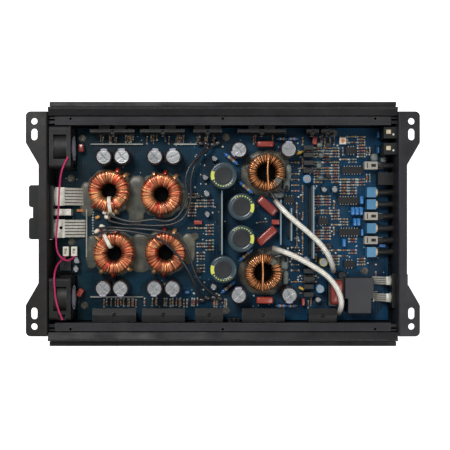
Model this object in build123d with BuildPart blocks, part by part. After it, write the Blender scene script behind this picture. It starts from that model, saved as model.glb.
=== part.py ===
from build123d import *

import os
from math import cos, hypot, pi, radians, sin, tan

# A car audio amplifier lying on its cooling fins with its bottom cover off.
# Millimetres.  +X runs along the extrusion to the signal end, +Z out of the open side.
# The origin is the centre of the rectangle that the object covers, on the fins' tips.

os.makedirs("parts", exist_ok=True)

# ---------------------------------------------------------------- driving dimensions

# extruded heatsink tray
TRAY_HALF_LENGTH = 163.0
TRAY_HALF_WIDTH = 115.0
FIN_HEIGHT = 11.0
FLOOR_TOP = 15.0
WALL_INSIDE = 94.0
LEDGE_INSIDE = 92.2
LEDGE_OUTSIDE = 99.9
LEDGE_TOP = 55.5
FIN_PITCH = 10.0
FIN_COUNT = 21
CHANNEL_RADIUS = 1.6
COVER_SCREW_X = 142.0
COVER_SCREW_Y = 98.1
COVER_SCREW_RADIUS = 1.25
COVER_SCREW_DEPTH = 8.0

# bent end plates
SHEET = 2.0
FLANGE_TOP = 58.0
PLATE_HALF_WIDTH = 104.6
PLATE_BOTTOM = 0.5
FOOT_X = 183.1
WAIST_X = 171.2
FOOT_INNER_Y = 75.5
WAIST_Y = 55.0
FOOT_HOLE_X = 175.2
FOOT_HOLE_Y = 95.4
FOOT_HOLE_RADIUS = 3.0
FOOT_SLOT_Y = 83.2
FOOT_SLOT_LENGTH = 10.8
PLATE_OUTSIDE = TRAY_HALF_LENGTH + SHEET

# circuit board
BOARD_BOTTOM = 21.0
BOARD_TOP = 22.6
BOARD_HALF_LENGTH = 160.0
BOARD_HALF_WIDTH = 93.0
BOARD_SCREWS = [
    (-147.0, 44.5), (-146.5, -17.2), (-136.5, 83.0), (-134.0, -79.0), (-27.0, -12.0),
    (3.0, -84.0), (3.0, 84.0), (107.0, 88.0), (137.0, -45.4),
]

# transistor clamps along the two long walls: the ends of each bar along X
BARS_BACK = [(-125.5, -83.5), (-78.0, -36.0), (-28.0, -1.0), (14.0, 59.5), (79.0, 90.5), (93.0, 105.0)]
BARS_FRONT = [(-123.0, -82.0), (-76.0, -36.0), (-26.0, 0.0), (18.0, 58.0), (81.0, 107.0)]
BAR_INSIDE = 85.0
BAR_OUTSIDE = 89.4
BAR_BOTTOM = 28.0
BAR_TOP = 45.0
ROOF_INSIDE = 80.0
ROOF_OUTSIDE = 92.0
ROOF_TOP = 46.3
BAR_SCREW_Z = 36.5
TRANSISTOR_WIDTH = 10.2
TRANSISTOR_PITCH = 10.9
LONE_TRANSISTOR_X = 10.25

# axial fans at the power end
FAN_SIZE = 40.0
FAN_DEPTH = 20.0
FAN_X = -162.0
FAN_Z = 35.3
FAN_Y = {"upper": 72.0, "lower": -70.0}
FAN_BORE = 18.8
FAN_HOLE_PITCH = 32.0
FAN_SHAFT_RADIUS = 1.0
FAN_SHAFT_FIT = 0.05
FAN_BLADES = 7
FAN_NOTCH_X = -150.0
FAN_NOTCH = (6.4, 12.0, 6.0)

# power terminals
POWER_Z = 35.0
POWER_Y = {"ground": 26.25, "battery": -4.4}
POWER_WIRE_RADIUS = 4.3
REMOTE_Y = 11.2
REMOTE_WIRE_RADIUS = 2.2
POWER_FACE_X = -183.1
REMOTE_FACE_X = -179.3

# speaker terminals
SPEAKER_Z = 34.0
SPEAKER_Y = [-54.2, -70.4]
SPEAKER_WIRE_RADIUS = 3.0
SPEAKER_FACE_X = 175.0

# wound parts: (x, y)
TRANSFORMERS = [(-108.6, 31.5), (-58.8, 28.2), (-103.6, -27.8), (-54.5, -27.2)]
INDUCTORS = [(41.3, 49.2), (38.5, -46.1)]
WOUND_BOTTOM = 25.6
WOUND_TOP = 44.4

# capacitors: (x, y)
MAIN_CAPACITORS = [(0.6, 45.3), (17.4, 15.9), (17.3, -13.8), (0.4, -42.5)]
MAIN_RADIUS = 12.8
MAIN_TOP = 54.0
FILTER_CAPACITORS = [
    (-112.2, 63.2), (-95.2, 63.5), (-64.1, 63.5), (-46.8, 63.5),
    (-112.8, -60.8), (-96.5, -60.8), (-64.5, -60.8), (-47.5, -60.8),
    (15.3, 69.9), (62.0, 70.3), (14.9, -67.5), (62.8, -67.1),
]
FILTER_RADIUS = 8.0
FILTER_TOP = 48.0
# small upright cans: x, y, radius, top
SIGNAL_CAPACITORS = [
    (80.4, 43.0, 4.0, 35.0), (92.9, -62.1, 4.0, 35.0), (79.6, -35.4, 4.0, 35.0),
    (96.3, -36.8, 4.0, 34.0), (-8.0, 62.6, 2.9, 32.0), (-17.0, 44.5, 2.9, 32.0),
    (-15.5, 29.0, 3.2, 33.0), (-15.0, 9.5, 2.9, 32.0), (-9.0, -60.2, 3.2, 33.0),
    (107.0, 33.0, 3.2, 33.0), (97.0, 33.0, 2.9, 32.0), (91.0, -72.6, 2.9, 32.0),
    (-140.5, -35.0, 3.1, 32.0), (-141.0, -43.0, 3.1, 32.0),
]
# dipped and boxed film capacitors: x, y, length, width, bottom, top, turn
FILM_CAPACITORS = [
    (40.6, 76.4, 16.5, 5.5, 24.0, 36.0, 0.0), (40.0, -73.0, 16.5, 6.5, 24.0, 36.0, 0.0),
    (42.4, 17.3, 22.0, 8.5, 26.5, 38.0, -42.0), (41.8, -11.3, 22.0, 8.5, 26.5, 38.0, 42.0),
    (50.6, 1.8, 8.0, 5.0, 24.0, 31.0, 0.0), (108.2, -65.1, 12.0, 23.5, 22.6, 42.0, 0.0),
    (88.0, 80.0, 4.5, 8.0, 24.0, 32.0, 0.0), (77.0, -75.0, 3.0, 7.5, 24.0, 32.0, 0.0),
    (-136.0, 73.0, 5.0, 8.0, 24.0, 33.0, 0.0), (-137.0, -66.0, 5.0, 8.0, 24.0, 33.0, -30.0),
    (-24.0, 1.5, 8.0, 4.0, 24.0, 31.0, 0.0),
    (133.4, 23.0, 3.6, 8.0, 22.6, 30.0, 0.0), (125.0, 12.4, 3.7, 8.0, 22.6, 30.0, 0.0),
    (129.0, 12.4, 3.7, 8.0, 22.6, 30.0, 0.0), (133.0, 12.4, 3.7, 8.0, 22.6, 30.0, 0.0),
    (126.9, 1.8, 3.4, 7.6, 22.6, 30.0, 0.0), (130.5, 1.8, 3.4, 7.6, 22.6, 30.0, 0.0),
    (133.9, -8.2, 2.6, 6.8, 22.6, 30.0, 0.0), (116.5, -18.2, 3.4, 8.0, 22.6, 30.0, 0.0),
]
# wire-ended power resistors lying level: x, y, length, radius, axis height, turn
POWER_RESISTORS = [
    (8.0, 62.6, 15.0, 2.0, 28.0, -40.0), (22.0, 35.0, 15.0, 2.0, 28.4, -40.0),
    (22.0, -30.0, 15.0, 2.0, 28.4, 40.0), (5.0, -61.0, 15.0, 2.0, 28.0, 40.0),
    (57.0, 82.0, 8.0, 1.7, 27.0, 0.0), (67.0, 82.0, 8.0, 1.7, 27.0, 0.0),
    (56.5, -79.0, 8.0, 1.7, 27.0, 0.0), (66.5, -79.0, 8.0, 1.7, 27.0, 0.0),
]
# dual-in-line chips: x, y, body length along X
CHIPS = [
    (123.6, 71.0, 9.8), (124.8, 52.0, 20.2), (121.1, 22.8, 20.2), (121.9, -7.8, 20.2),
    (121.9, -38.6, 9.8), (96.5, 3.0, 9.8), (63.9, 23.5, 9.8),
]
CHIP_WIDTH = 6.4
CHIP_TOP = 26.8

# plug-in boards standing on edge: x, lowest y, highest y, top
MODULE_BOARDS = [(-0.9, -29.0, 31.6, 42.0), (65.0, -16.0, 15.0, 42.0), (85.8, -32.6, 36.4, 44.0)]
SCREEN_PLATE = (55.5, -20.0, 23.0, 33.0)

# rotary and push controls at the signal end
CONTROL_Z = 29.0
POT_Y = [30.3, 18.8, -4.1, -26.9]
SWITCH_Y = [56.0, 7.5, -15.5]
CONTROL_HOLE_RADIUS = 3.5
POT_STEM_RADIUS = 1.5
POT_STEM_FIT = 0.05
SWITCH_TRAVEL = 2.5

# phono jacks and the socket of the remote level control
PHONO_Y = [85.7, 70.6]
PHONO_Z = [29.3, 43.3]
PHONO_BARREL_RADIUS = 4.15
PHONO_TIP_X = 174.0
SOCKET_Y = 43.2

# routes of the loose leads, one point after another
FAN_LEAD_DIAMETER = 1.8
FAN_LEADS = {
    "upper": [
        (-144.0, 62.5, 56.4), (-148.2, 55.0, 56.6), (-151.4, 45.5, 54.6), (-153.2, 32.5, 51.0),
        (-154.2, 18.0, 48.8), (-155.2, 3.5, 47.8), (-156.9, -9.5, 46.6), (-157.4, -20.0, 45.2),
        (-156.0, -28.2, 44.0), (-151.0, -34.0, 42.0), (-145.4, -35.4, 37.6), (-142.6, -31.4, 32.4),
    ],
    "lower": [
        (-149.4, -89.3, 55.6), (-152.6, -81.5, 56.8), (-155.4, -71.0, 56.9), (-156.6, -60.0, 56.8),
        (-157.0, -48.4, 56.9), (-156.6, -40.8, 49.8), (-155.2, -36.8, 42.4), (-153.0, -33.6, 36.0),
        (-150.5, -31.3, 30.6),
    ],
}
POWER_WIRE_DIAMETER = 2.4
POWER_WIRES = {
    "power_wire_1": [
        (-112.4, 10.6, 37.0), (-101.9, 5.7, 40.0), (-88.0, 1.8, 41.6), (-75.8, 2.8, 42.0),
        (-65.4, 4.5, 42.0), (-54.9, 2.2, 42.0), (-45.5, 4.0, 42.0), (-37.5, 13.6, 42.0),
        (-33.2, 27.5, 42.0), (-35.7, 38.0, 42.0), (-34.2, 50.2, 41.6), (-27.0, 60.7, 40.0),
        (-18.4, 68.5, 36.0), (-9.5, 74.5, 29.0),
    ],
    "power_wire_2": [
        (-108.9, 3.1, 33.0), (-96.7, -0.7, 35.4), (-79.3, -0.9, 37.0), (-61.5, -1.9, 37.6),
        (-46.3, -0.4, 37.6), (-35.8, 6.4, 37.6), (-30.0, 24.0, 37.6), (-31.2, 41.0, 37.6),
        (-27.5, 54.6, 37.0), (-21.6, 66.0, 34.0), (-16.5, 76.0, 29.0),
    ],
    "power_wire_3": [
        (-121.1, -10.9, 44.0), (-111.5, -6.4, 46.6), (-97.5, -5.6, 47.2), (-81.0, -8.0, 47.4),
        (-65.4, -11.2, 47.6), (-53.1, -18.4, 47.6), (-42.8, -29.1, 47.4), (-34.0, -41.4, 44.6),
        (-28.0, -54.5, 38.6), (-24.4, -65.5, 32.0), (-19.0, -73.0, 26.6),
    ],
    "power_wire_4": [
        (-118.0, -4.2, 40.0), (-107.5, -2.9, 42.6), (-93.5, -4.0, 44.0), (-78.0, -4.6, 46.6),
        (-62.5, -5.9, 47.8), (-48.0, -8.6, 47.8), (-37.2, -17.4, 47.0), (-31.4, -30.0, 44.6),
        (-28.0, -43.5, 41.6), (-21.9, -56.0, 37.6), (-13.1, -65.0, 32.0), (-3.0, -71.6, 27.0),
    ],
}
OUTPUT_CABLE_DIAMETER = 5.0
OUTPUT_CABLES = {
    "output_cable_1": [
        (49.1, 22.4, 43.0), (57.0, 12.6, 46.4), (67.5, 2.8, 47.6), (79.0, -6.8, 48.0),
        (90.5, -17.0, 47.6), (99.4, -28.4, 44.4), (104.6, -39.6, 37.0), (106.6, -45.6, 27.5),
    ],
    "output_cable_2": [
        (46.4, -22.6, 46.6), (56.8, -25.6, 47.4), (70.2, -31.6, 47.4), (84.0, -39.2, 47.2),
        (97.4, -47.8, 47.4), (106.6, -58.4, 48.0), (111.6, -70.6, 48.2), (111.9, -80.9, 43.4),
        (110.4, -86.2, 31.0),
    ],
}


def save(part, name):
    """Label a finished piece and write it under its node's name."""
    part.label = name
    export_step(part, f"parts/{name}.step")


def corner_radii(points):
    """The largest arc at each corner of a route: 0.45 of the shorter run over tan(half the turn)."""
    radii = []
    for before, here, after in zip(points, points[1:], points[2:]):
        first = Vector(*here) - Vector(*before)
        second = Vector(*after) - Vector(*here)
        turn = radians(first.get_angle(second))
        radii.append(0.45 * min(first.length, second.length) / tan(turn / 2))
    return radii


def tube(name, points, diameter):
    """A round lead: straight runs joined by tangent arcs."""
    radii = corner_radii(points)
    with BuildPart() as lead:
        with BuildLine():
            path = FilletPolyline(*points, radius=radii)
        with BuildSketch(Plane(origin=path @ 0, z_dir=path % 0)):
            Circle(diameter / 2)
        sweep()
    expected = pi * diameter**2 / 4 * path.length
    print(name, "radii", [round(r, 1) for r in radii], "least/diameter", round(min(radii) / diameter, 2),
          "length", round(path.length, 1), "volume ratio", round(lead.part.volume / expected, 4))
    save(lead.part, name)


# ---------------------------------------------------------------- heatsink tray

# one half of the extrusion's outline, (y, z), from the outermost fin up and over to the tray's floor
tray_half_outline = [
    (112.0, FIN_HEIGHT), (112.0, 0.0), (114.0, 0.0), (TRAY_HALF_WIDTH, 1.5),
    (TRAY_HALF_WIDTH, 8.0), (113.6, 8.8), (113.6, 11.2), (TRAY_HALF_WIDTH, 12.0),
    (TRAY_HALF_WIDTH, 20.0), (113.6, 20.8), (113.6, 23.2), (TRAY_HALF_WIDTH, 24.0),
    (TRAY_HALF_WIDTH, 32.0), (113.6, 32.8), (113.6, 35.2), (TRAY_HALF_WIDTH, 36.0),
    (TRAY_HALF_WIDTH, 47.2), (114.2, 48.0), (110.8, 48.0), (110.8, 44.0), (109.2, 44.0),
    (109.2, 56.4), (108.2, 57.0), (107.7, 56.4), (107.2, 56.6), (LEDGE_OUTSIDE + 1.3, 54.4),
    (LEDGE_OUTSIDE + 1.3, 47.0), (LEDGE_OUTSIDE, 47.0), (LEDGE_OUTSIDE, LEDGE_TOP),
    (LEDGE_INSIDE, LEDGE_TOP), (LEDGE_INSIDE, 52.8), (WALL_INSIDE, 51.0), (WALL_INSIDE, FLOOR_TOP),
]
tray_outline = tray_half_outline + [(-y, z) for y, z in reversed(tray_half_outline)]
LEDGE_END = 156.5
channel_places = [(side * y, z) for side in (-1, 1) for y, z in ((97.0, 44.0), (38.0, 12.8))]
bars = [(start, end, 1) for start, end in BARS_BACK] + [(start, end, -1) for start, end in BARS_FRONT]

with BuildPart() as heatsink:
    with BuildSketch(Plane.YZ.offset(-TRAY_HALF_LENGTH)):
        with BuildLine():
            Polyline(*tray_outline, close=True)
        make_face()
        for number in range(FIN_COUNT):
            y = (number - (FIN_COUNT - 1) / 2) * FIN_PITCH
            Polygon((y - 1.6, 11.4), (y - 1.0, 0.5), (y - 0.5, 0.0), (y + 0.5, 0.0), (y + 1.0, 0.5),
                    (y + 1.6, 11.4), align=None)
        with Locations(channel_places[1], channel_places[3]):
            Circle(3.4)
        for side in (-1, 1):
            with Locations((side * 105.4, 30.0)):
                RectangleRounded(11.0, 21.0, 1.5, mode=Mode.SUBTRACT)
        with Locations(*channel_places):
            Circle(CHANNEL_RADIUS, mode=Mode.SUBTRACT)
    extrude(amount=2 * TRAY_HALF_LENGTH)
    # the ledge stops short of both ends, where the screw channels lie open
    for end in (-1, 1):
        for side in (-1, 1):
            with Locations((end * (LEDGE_END + 4), side * 95.9, 54.5)):
                Box(8.0, 8.0, 7.0, mode=Mode.SUBTRACT)
            with Locations((end * (LEDGE_END + 4), side * 97.6, 49.0)):
                Box(8.0, 1.9, 10.0, mode=Mode.SUBTRACT)
    # threaded holes for the bottom cover
    for x in (-COVER_SCREW_X, 0.0, COVER_SCREW_X):
        for side in (-1, 1):
            with Locations((x, side * COVER_SCREW_Y, LEDGE_TOP - COVER_SCREW_DEPTH / 2)):
                Cylinder(COVER_SCREW_RADIUS, COVER_SCREW_DEPTH, mode=Mode.SUBTRACT)
    # holes for the clamp screws and for the lone transistor's screw
    for start, end, side in bars:
        with Locations(((start + end) / 2, side * (WALL_INSIDE + 3.0), BAR_SCREW_Z)):
            Cylinder(1.5, 7.0, rotation=(90, 0, 0), mode=Mode.SUBTRACT)
    with Locations((LONE_TRANSISTOR_X, -WALL_INSIDE - 3.0, 40.5)):
        Cylinder(1.5, 7.0, rotation=(90, 0, 0), mode=Mode.SUBTRACT)
    # holes under the board's stand-offs
    for x, y in BOARD_SCREWS:
        with Locations((x, y, FLOOR_TOP - 1.5)):
            Cylinder(1.5, 3.2, mode=Mode.SUBTRACT)
save(heatsink.part, "heatsink")

# ---------------------------------------------------------------- end plates

foot_outline = [
    (TRAY_HALF_LENGTH, -PLATE_HALF_WIDTH), (FOOT_X, -PLATE_HALF_WIDTH), (FOOT_X, -FOOT_INNER_Y),
    (WAIST_X, -WAIST_Y), (WAIST_X, WAIST_Y), (FOOT_X, FOOT_INNER_Y), (FOOT_X, PLATE_HALF_WIDTH),
    (TRAY_HALF_LENGTH, PLATE_HALF_WIDTH),
]

with BuildPart() as plate_blank:
    with BuildSketch(Plane.XY.offset(FLANGE_TOP - SHEET)) as flange:
        with BuildLine():
            Polyline(*foot_outline, close=True)
        make_face()
        outer_corners = flange.vertices().group_by(Axis.X)[-1]
        fillet(outer_corners.filter_by(lambda v: abs(v.Y) > 100), 4.5)
        fillet(flange.vertices().filter_by(lambda v: abs(abs(v.Y) - WAIST_Y) < 0.1), 4.0)
        fillet(flange.vertices().filter_by(lambda v: abs(abs(v.Y) - FOOT_INNER_Y) < 0.1), 4.0)
        with GridLocations(0, 2 * FOOT_HOLE_Y, 1, 2):
            with Locations((FOOT_HOLE_X, 0)):
                Circle(FOOT_HOLE_RADIUS, mode=Mode.SUBTRACT)
        with GridLocations(0, 2 * FOOT_SLOT_Y, 1, 2):
            with Locations((FOOT_HOLE_X, 0)):
                SlotOverall(FOOT_SLOT_LENGTH, 2 * FOOT_HOLE_RADIUS, rotation=90, mode=Mode.SUBTRACT)
    extrude(amount=SHEET)
    with BuildSketch(Plane.XY.offset(PLATE_BOTTOM)):
        with Locations((TRAY_HALF_LENGTH + SHEET / 2, 0)):
            Rectangle(SHEET, 2 * PLATE_HALF_WIDTH)
    extrude(amount=FLANGE_TOP - PLATE_BOTTOM)
    bend = plate_blank.edges().filter_by(Axis.Y).filter_by(
        lambda e: abs(e.center().X - TRAY_HALF_LENGTH) < 0.1 and abs(e.center().Z - FLANGE_TOP) < 0.1)
    fillet(bend, 1.9)
    with BuildSketch(Plane.YZ.offset(TRAY_HALF_LENGTH)):
        with Locations(*channel_places):
            Circle(2.1)
    extrude(amount=SHEET, mode=Mode.SUBTRACT)

GRILLE_PITCH = 4.7
GRILLE_REACH = 18.0
with BuildPart() as left_end_plate:
    mirror(plate_blank.part, about=Plane.YZ)
    with BuildSketch(Plane.YZ.offset(-PLATE_OUTSIDE)):
        for y in FAN_Y.values():
            with Locations((y, FAN_Z)):
                for row in range(-4, 5):
                    for column in range(-4, 5):
                        across = (column + (row % 2) / 2) * GRILLE_PITCH
                        up = row * GRILLE_PITCH * sin(pi / 3)
                        if hypot(across, up) < GRILLE_REACH:
                            with Locations((across, up)):
                                Circle(1.8)
                with GridLocations(FAN_HOLE_PITCH, FAN_HOLE_PITCH, 2, 2):
                    Circle(1.7)
        with Locations((11.05, POWER_Z)):
            RectangleRounded(52.1, 22.8, 0.5)
    extrude(amount=SHEET, mode=Mode.SUBTRACT)
save(left_end_plate.part, "left_end_plate")

with BuildPart() as right_end_plate:
    add(plate_blank.part)
    with BuildSketch(Plane.YZ.offset(TRAY_HALF_LENGTH)):
        with Locations(*[(y, CONTROL_Z) for y in POT_Y + SWITCH_Y]):
            Circle(CONTROL_HOLE_RADIUS)
        with Locations(*[(y, z) for y in PHONO_Y for z in PHONO_Z]):
            Circle(3.8)
        with Locations((SOCKET_Y, 29.5)):
            RectangleRounded(10.4, 8.4, 0.6)
        with Locations((-62.9, SPEAKER_Z)):
            RectangleRounded(32.8, 20.8, 0.5)
    extrude(amount=SHEET, mode=Mode.SUBTRACT)
save(right_end_plate.part, "right_end_plate")

with BuildPart() as end_plate_screws:
    for end in (-1, 1):
        for y, z in channel_places:
            with Locations((end * (PLATE_OUTSIDE + 1.1), y, z)):
                Cylinder(3.6, 2.2, rotation=(0, 90, 0))
            with Locations((end * (PLATE_OUTSIDE + 1.7), y, z)):
                Cylinder(1.3, 1.0, rotation=(0, 90, 0), mode=Mode.SUBTRACT)
            with Locations((end * (PLATE_OUTSIDE - 5.0), y, z)):
                Cylinder(1.55, 10.0, rotation=(0, 90, 0))
save(end_plate_screws.part, "end_plate_screws")

# ---------------------------------------------------------------- circuit board

with BuildPart() as circuit_board:
    with BuildSketch(Plane.XY.offset(BOARD_BOTTOM)):
        Rectangle(2 * BOARD_HALF_LENGTH, 2 * BOARD_HALF_WIDTH)
        # the corners are cut away around the fans
        with Locations((-BOARD_HALF_LENGTH, BOARD_HALF_WIDTH)):
            Rectangle(38.0, 83.2, mode=Mode.SUBTRACT)
        with Locations((-BOARD_HALF_LENGTH, -BOARD_HALF_WIDTH)):
            Rectangle(38.0, 92.0, mode=Mode.SUBTRACT)
        with Locations(*BOARD_SCREWS):
            Circle(1.7, mode=Mode.SUBTRACT)
    extrude(amount=BOARD_TOP - BOARD_BOTTOM)
save(circuit_board.part, "circuit_board")

with BuildPart() as board_standoffs:
    with BuildSketch(Plane.XY.offset(FLOOR_TOP)):
        with Locations(*BOARD_SCREWS):
            RegularPolygon(3.2, 6)
            Circle(1.5, mode=Mode.SUBTRACT)
    extrude(amount=BOARD_BOTTOM - FLOOR_TOP)
save(board_standoffs.part, "board_standoffs")

with BuildPart() as board_screws:
    for x, y in BOARD_SCREWS:
        with Locations((x, y, BOARD_TOP)):
            Cylinder(2.8, 1.8, align=(Align.CENTER, Align.CENTER, Align.MIN))
            Cylinder(1.45, 6.0, align=(Align.CENTER, Align.CENTER, Align.MAX))
        with Locations((x, y, BOARD_TOP + 1.5)):
            Box(3.6, 0.7, 0.8, mode=Mode.SUBTRACT)
            Box(0.7, 3.6, 0.8, mode=Mode.SUBTRACT)
save(board_screws.part, "board_screws")

# ---------------------------------------------------------------- transistors and their clamps

# outlines of the bars along the two walls, (|y|, z): the front ones carry a broad roof
back_bar_outline = [
    (BAR_OUTSIDE, BAR_BOTTOM), (BAR_OUTSIDE, BAR_TOP), (BAR_INSIDE + 1.6, BAR_TOP),
    (BAR_INSIDE, BAR_TOP - 2.4), (BAR_INSIDE, BAR_BOTTOM + 2.0), (BAR_INSIDE + 1.0, BAR_BOTTOM),
]
front_bar_outline = [
    (BAR_OUTSIDE, BAR_BOTTOM), (BAR_OUTSIDE, BAR_TOP), (ROOF_OUTSIDE, BAR_TOP), (ROOF_OUTSIDE, ROOF_TOP),
    (BAR_INSIDE + 1.0, ROOF_TOP), (ROOF_INSIDE, ROOF_TOP - 2.8), (ROOF_INSIDE, ROOF_TOP - 5.0),
    (BAR_INSIDE, ROOF_TOP - 5.8), (BAR_INSIDE, BAR_BOTTOM + 2.0), (BAR_INSIDE + 1.0, BAR_BOTTOM),
]

with BuildPart() as clamp_bars:
    for start, end, side in bars:
        with BuildSketch(Plane.YZ.offset(start)):
            outline = back_bar_outline if side > 0 else front_bar_outline
            Polygon(*[(side * y, z) for y, z in outline], align=None)
        extrude(amount=end - start)
        middle = (start + end) / 2
        with Locations((middle, side * 87.0, BAR_SCREW_Z)):
            Cylinder(1.7, 8.0, rotation=(90, 0, 0), mode=Mode.SUBTRACT)
        # a notch over the screw
        with Locations((middle, side * (BAR_INSIDE + 1.0), BAR_TOP)):
            Box(3.4, 4.4, 5.0, mode=Mode.SUBTRACT)
save(clamp_bars.part, "clamp_bars")

with BuildPart() as clamp_bar_screws:
    for start, end, side in bars:
        middle = (start + end) / 2
        with Locations((middle, side * (BAR_INSIDE - 1.1), BAR_SCREW_Z)):
            Cylinder(3.0, 2.2, rotation=(90, 0, 0))
        with Locations((middle, side * (BAR_INSIDE + 6.5), BAR_SCREW_Z)):
            Cylinder(1.45, 13.0, rotation=(90, 0, 0))
    with Locations((LONE_TRANSISTOR_X, -BAR_OUTSIDE - 1.3, 40.5)):
        Cylinder(3.0, 2.2, rotation=(90, 0, 0))
    with Locations((LONE_TRANSISTOR_X, -WALL_INSIDE - 0.2, 40.5)):
        Cylinder(1.45, 5.0, rotation=(90, 0, 0))
save(clamp_bar_screws.part, "clamp_bar_screws")


def transistor_places():
    """The middle of each transistor behind the bars: as many as fit side by side, clear of the screw."""
    places = []
    for start, end, side in bars:
        middle = (start + end) / 2
        each_side = int(((end - start) / 2 - 2.0) // TRANSISTOR_PITCH)
        if each_side == 0:
            continue
        for step in range(each_side):
            offset = 2.0 + TRANSISTOR_PITCH * (step + 0.5)
            places += [(middle - offset, side), (middle + offset, side)]
    return places


TRANSISTORS = transistor_places()
with BuildPart() as power_transistors:
    for x, side in TRANSISTORS:
        with Locations((x, side * (WALL_INSIDE - 2.2), 37.0)):
            Box(TRANSISTOR_WIDTH, 4.4, 15.4)
    # the lone one shows its metal tab and its own screw
    with Locations((LONE_TRANSISTOR_X, -WALL_INSIDE + 0.7, 36.0)):
        Box(TRANSISTOR_WIDTH, 1.4, 17.0)
    with Locations((LONE_TRANSISTOR_X, -WALL_INSIDE + 2.2, 32.0)):
        Box(TRANSISTOR_WIDTH, 4.4, 9.0)
    with Locations((LONE_TRANSISTOR_X, -WALL_INSIDE, 40.5)):
        Cylinder(1.7, 8.0, rotation=(90, 0, 0), mode=Mode.SUBTRACT)
save(power_transistors.part, "power_transistors")

LEAD_SPACING = 2.54
with BuildPart() as transistor_leads:
    for x, side in TRANSISTORS + [(LONE_TRANSISTOR_X, -1)]:
        lead_top = 29.3 if x != LONE_TRANSISTOR_X else 27.5
        for step in (-1, 0, 1):
            with Locations((x + step * LEAD_SPACING, side * 91.0, BOARD_TOP)):
                Box(0.9, 0.6, lead_top - BOARD_TOP, align=(Align.CENTER, Align.CENTER, Align.MIN))
save(transistor_leads.part, "transistor_leads")

# ---------------------------------------------------------------- power terminals

with BuildPart() as power_terminal_block:
    with BuildSketch(Plane.XY.offset(POWER_Z - 11.0)) as block_plan:
        for low, high, face in ((15.8, 36.7, POWER_FACE_X), (-14.6, 5.8, POWER_FACE_X)):
            with Locations((face + 10.0, (low + high) / 2)):
                RectangleRounded(20.0, high - low, 2.6)
        with Locations((-169.9, 11.05)):
            Rectangle(19.8, 51.3)
        with Locations((-181.6, 11.05)):
            Rectangle(8.0, 51.3, mode=Mode.SUBTRACT)
        for low, high, face in ((15.8, 36.7, POWER_FACE_X), (-14.6, 5.8, POWER_FACE_X)):
            with Locations((face + 6.0, (low + high) / 2)):
                RectangleRounded(12.0, high - low, 2.6)
        with Locations((REMOTE_FACE_X + 4.0, 10.8)):
            Rectangle(8.0, 10.4)
    extrude(amount=22.0)
    block_rims = power_terminal_block.edges().filter_by(Plane.XY).filter_by(
        lambda e: e.center().X < -177.0)
    chamfer(block_rims, 0.8)
    for y in POWER_Y.values():
        with Locations((-170.0, y, POWER_Z)):
            Cylinder(6.6, 22.0, rotation=(0, 90, 0), mode=Mode.SUBTRACT)
        with Locations((POWER_FACE_X, y, POWER_Z)):
            Cylinder(4.9, 8.0, rotation=(0, 90, 0), mode=Mode.SUBTRACT)
        with Locations((-174.0, y, 26.0)):
            Cylinder(3.2, 8.0, mode=Mode.SUBTRACT)
    with Locations((-168.0, REMOTE_Y, POWER_Z)):
        Cylinder(3.6, 20.0, rotation=(0, 90, 0), mode=Mode.SUBTRACT)
    with Locations((REMOTE_FACE_X, REMOTE_Y, POWER_Z)):
        Cylinder(2.6, 8.0, rotation=(0, 90, 0), mode=Mode.SUBTRACT)
    with Locations((-174.0, REMOTE_Y, 27.0)):
        Cylinder(2.2, 10.0, mode=Mode.SUBTRACT)
save(power_terminal_block.part, "power_terminal_block")


def comb_lug(x_wall, x_root, x_tip, width, prongs, z):
    """A flat plate from the terminal to x_root, whose prongs slope down to the board at x_tip."""
    pitch = width / prongs
    inward = 1 if x_tip > x_wall else -1
    with BuildPart() as lug:
        with Locations(((x_wall + x_root) / 2, 0, z)):
            Box(abs(x_root - x_wall), width, 2.0)
        for number in range(prongs):
            y = (number - (prongs - 1) / 2) * pitch
            with BuildSketch(Plane.XZ.offset(-y - 0.37 * pitch)):
                Polygon((x_root - inward * 0.6, z + 1.0), (x_root, z + 1.0), (x_tip, BOARD_TOP + 1.6),
                        (x_tip, BOARD_TOP), (x_tip - inward * 1.4, BOARD_TOP),
                        (x_root - inward * 0.6, z - 1.0), align=None)
            extrude(amount=0.74 * pitch)
    return lug.part


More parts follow.
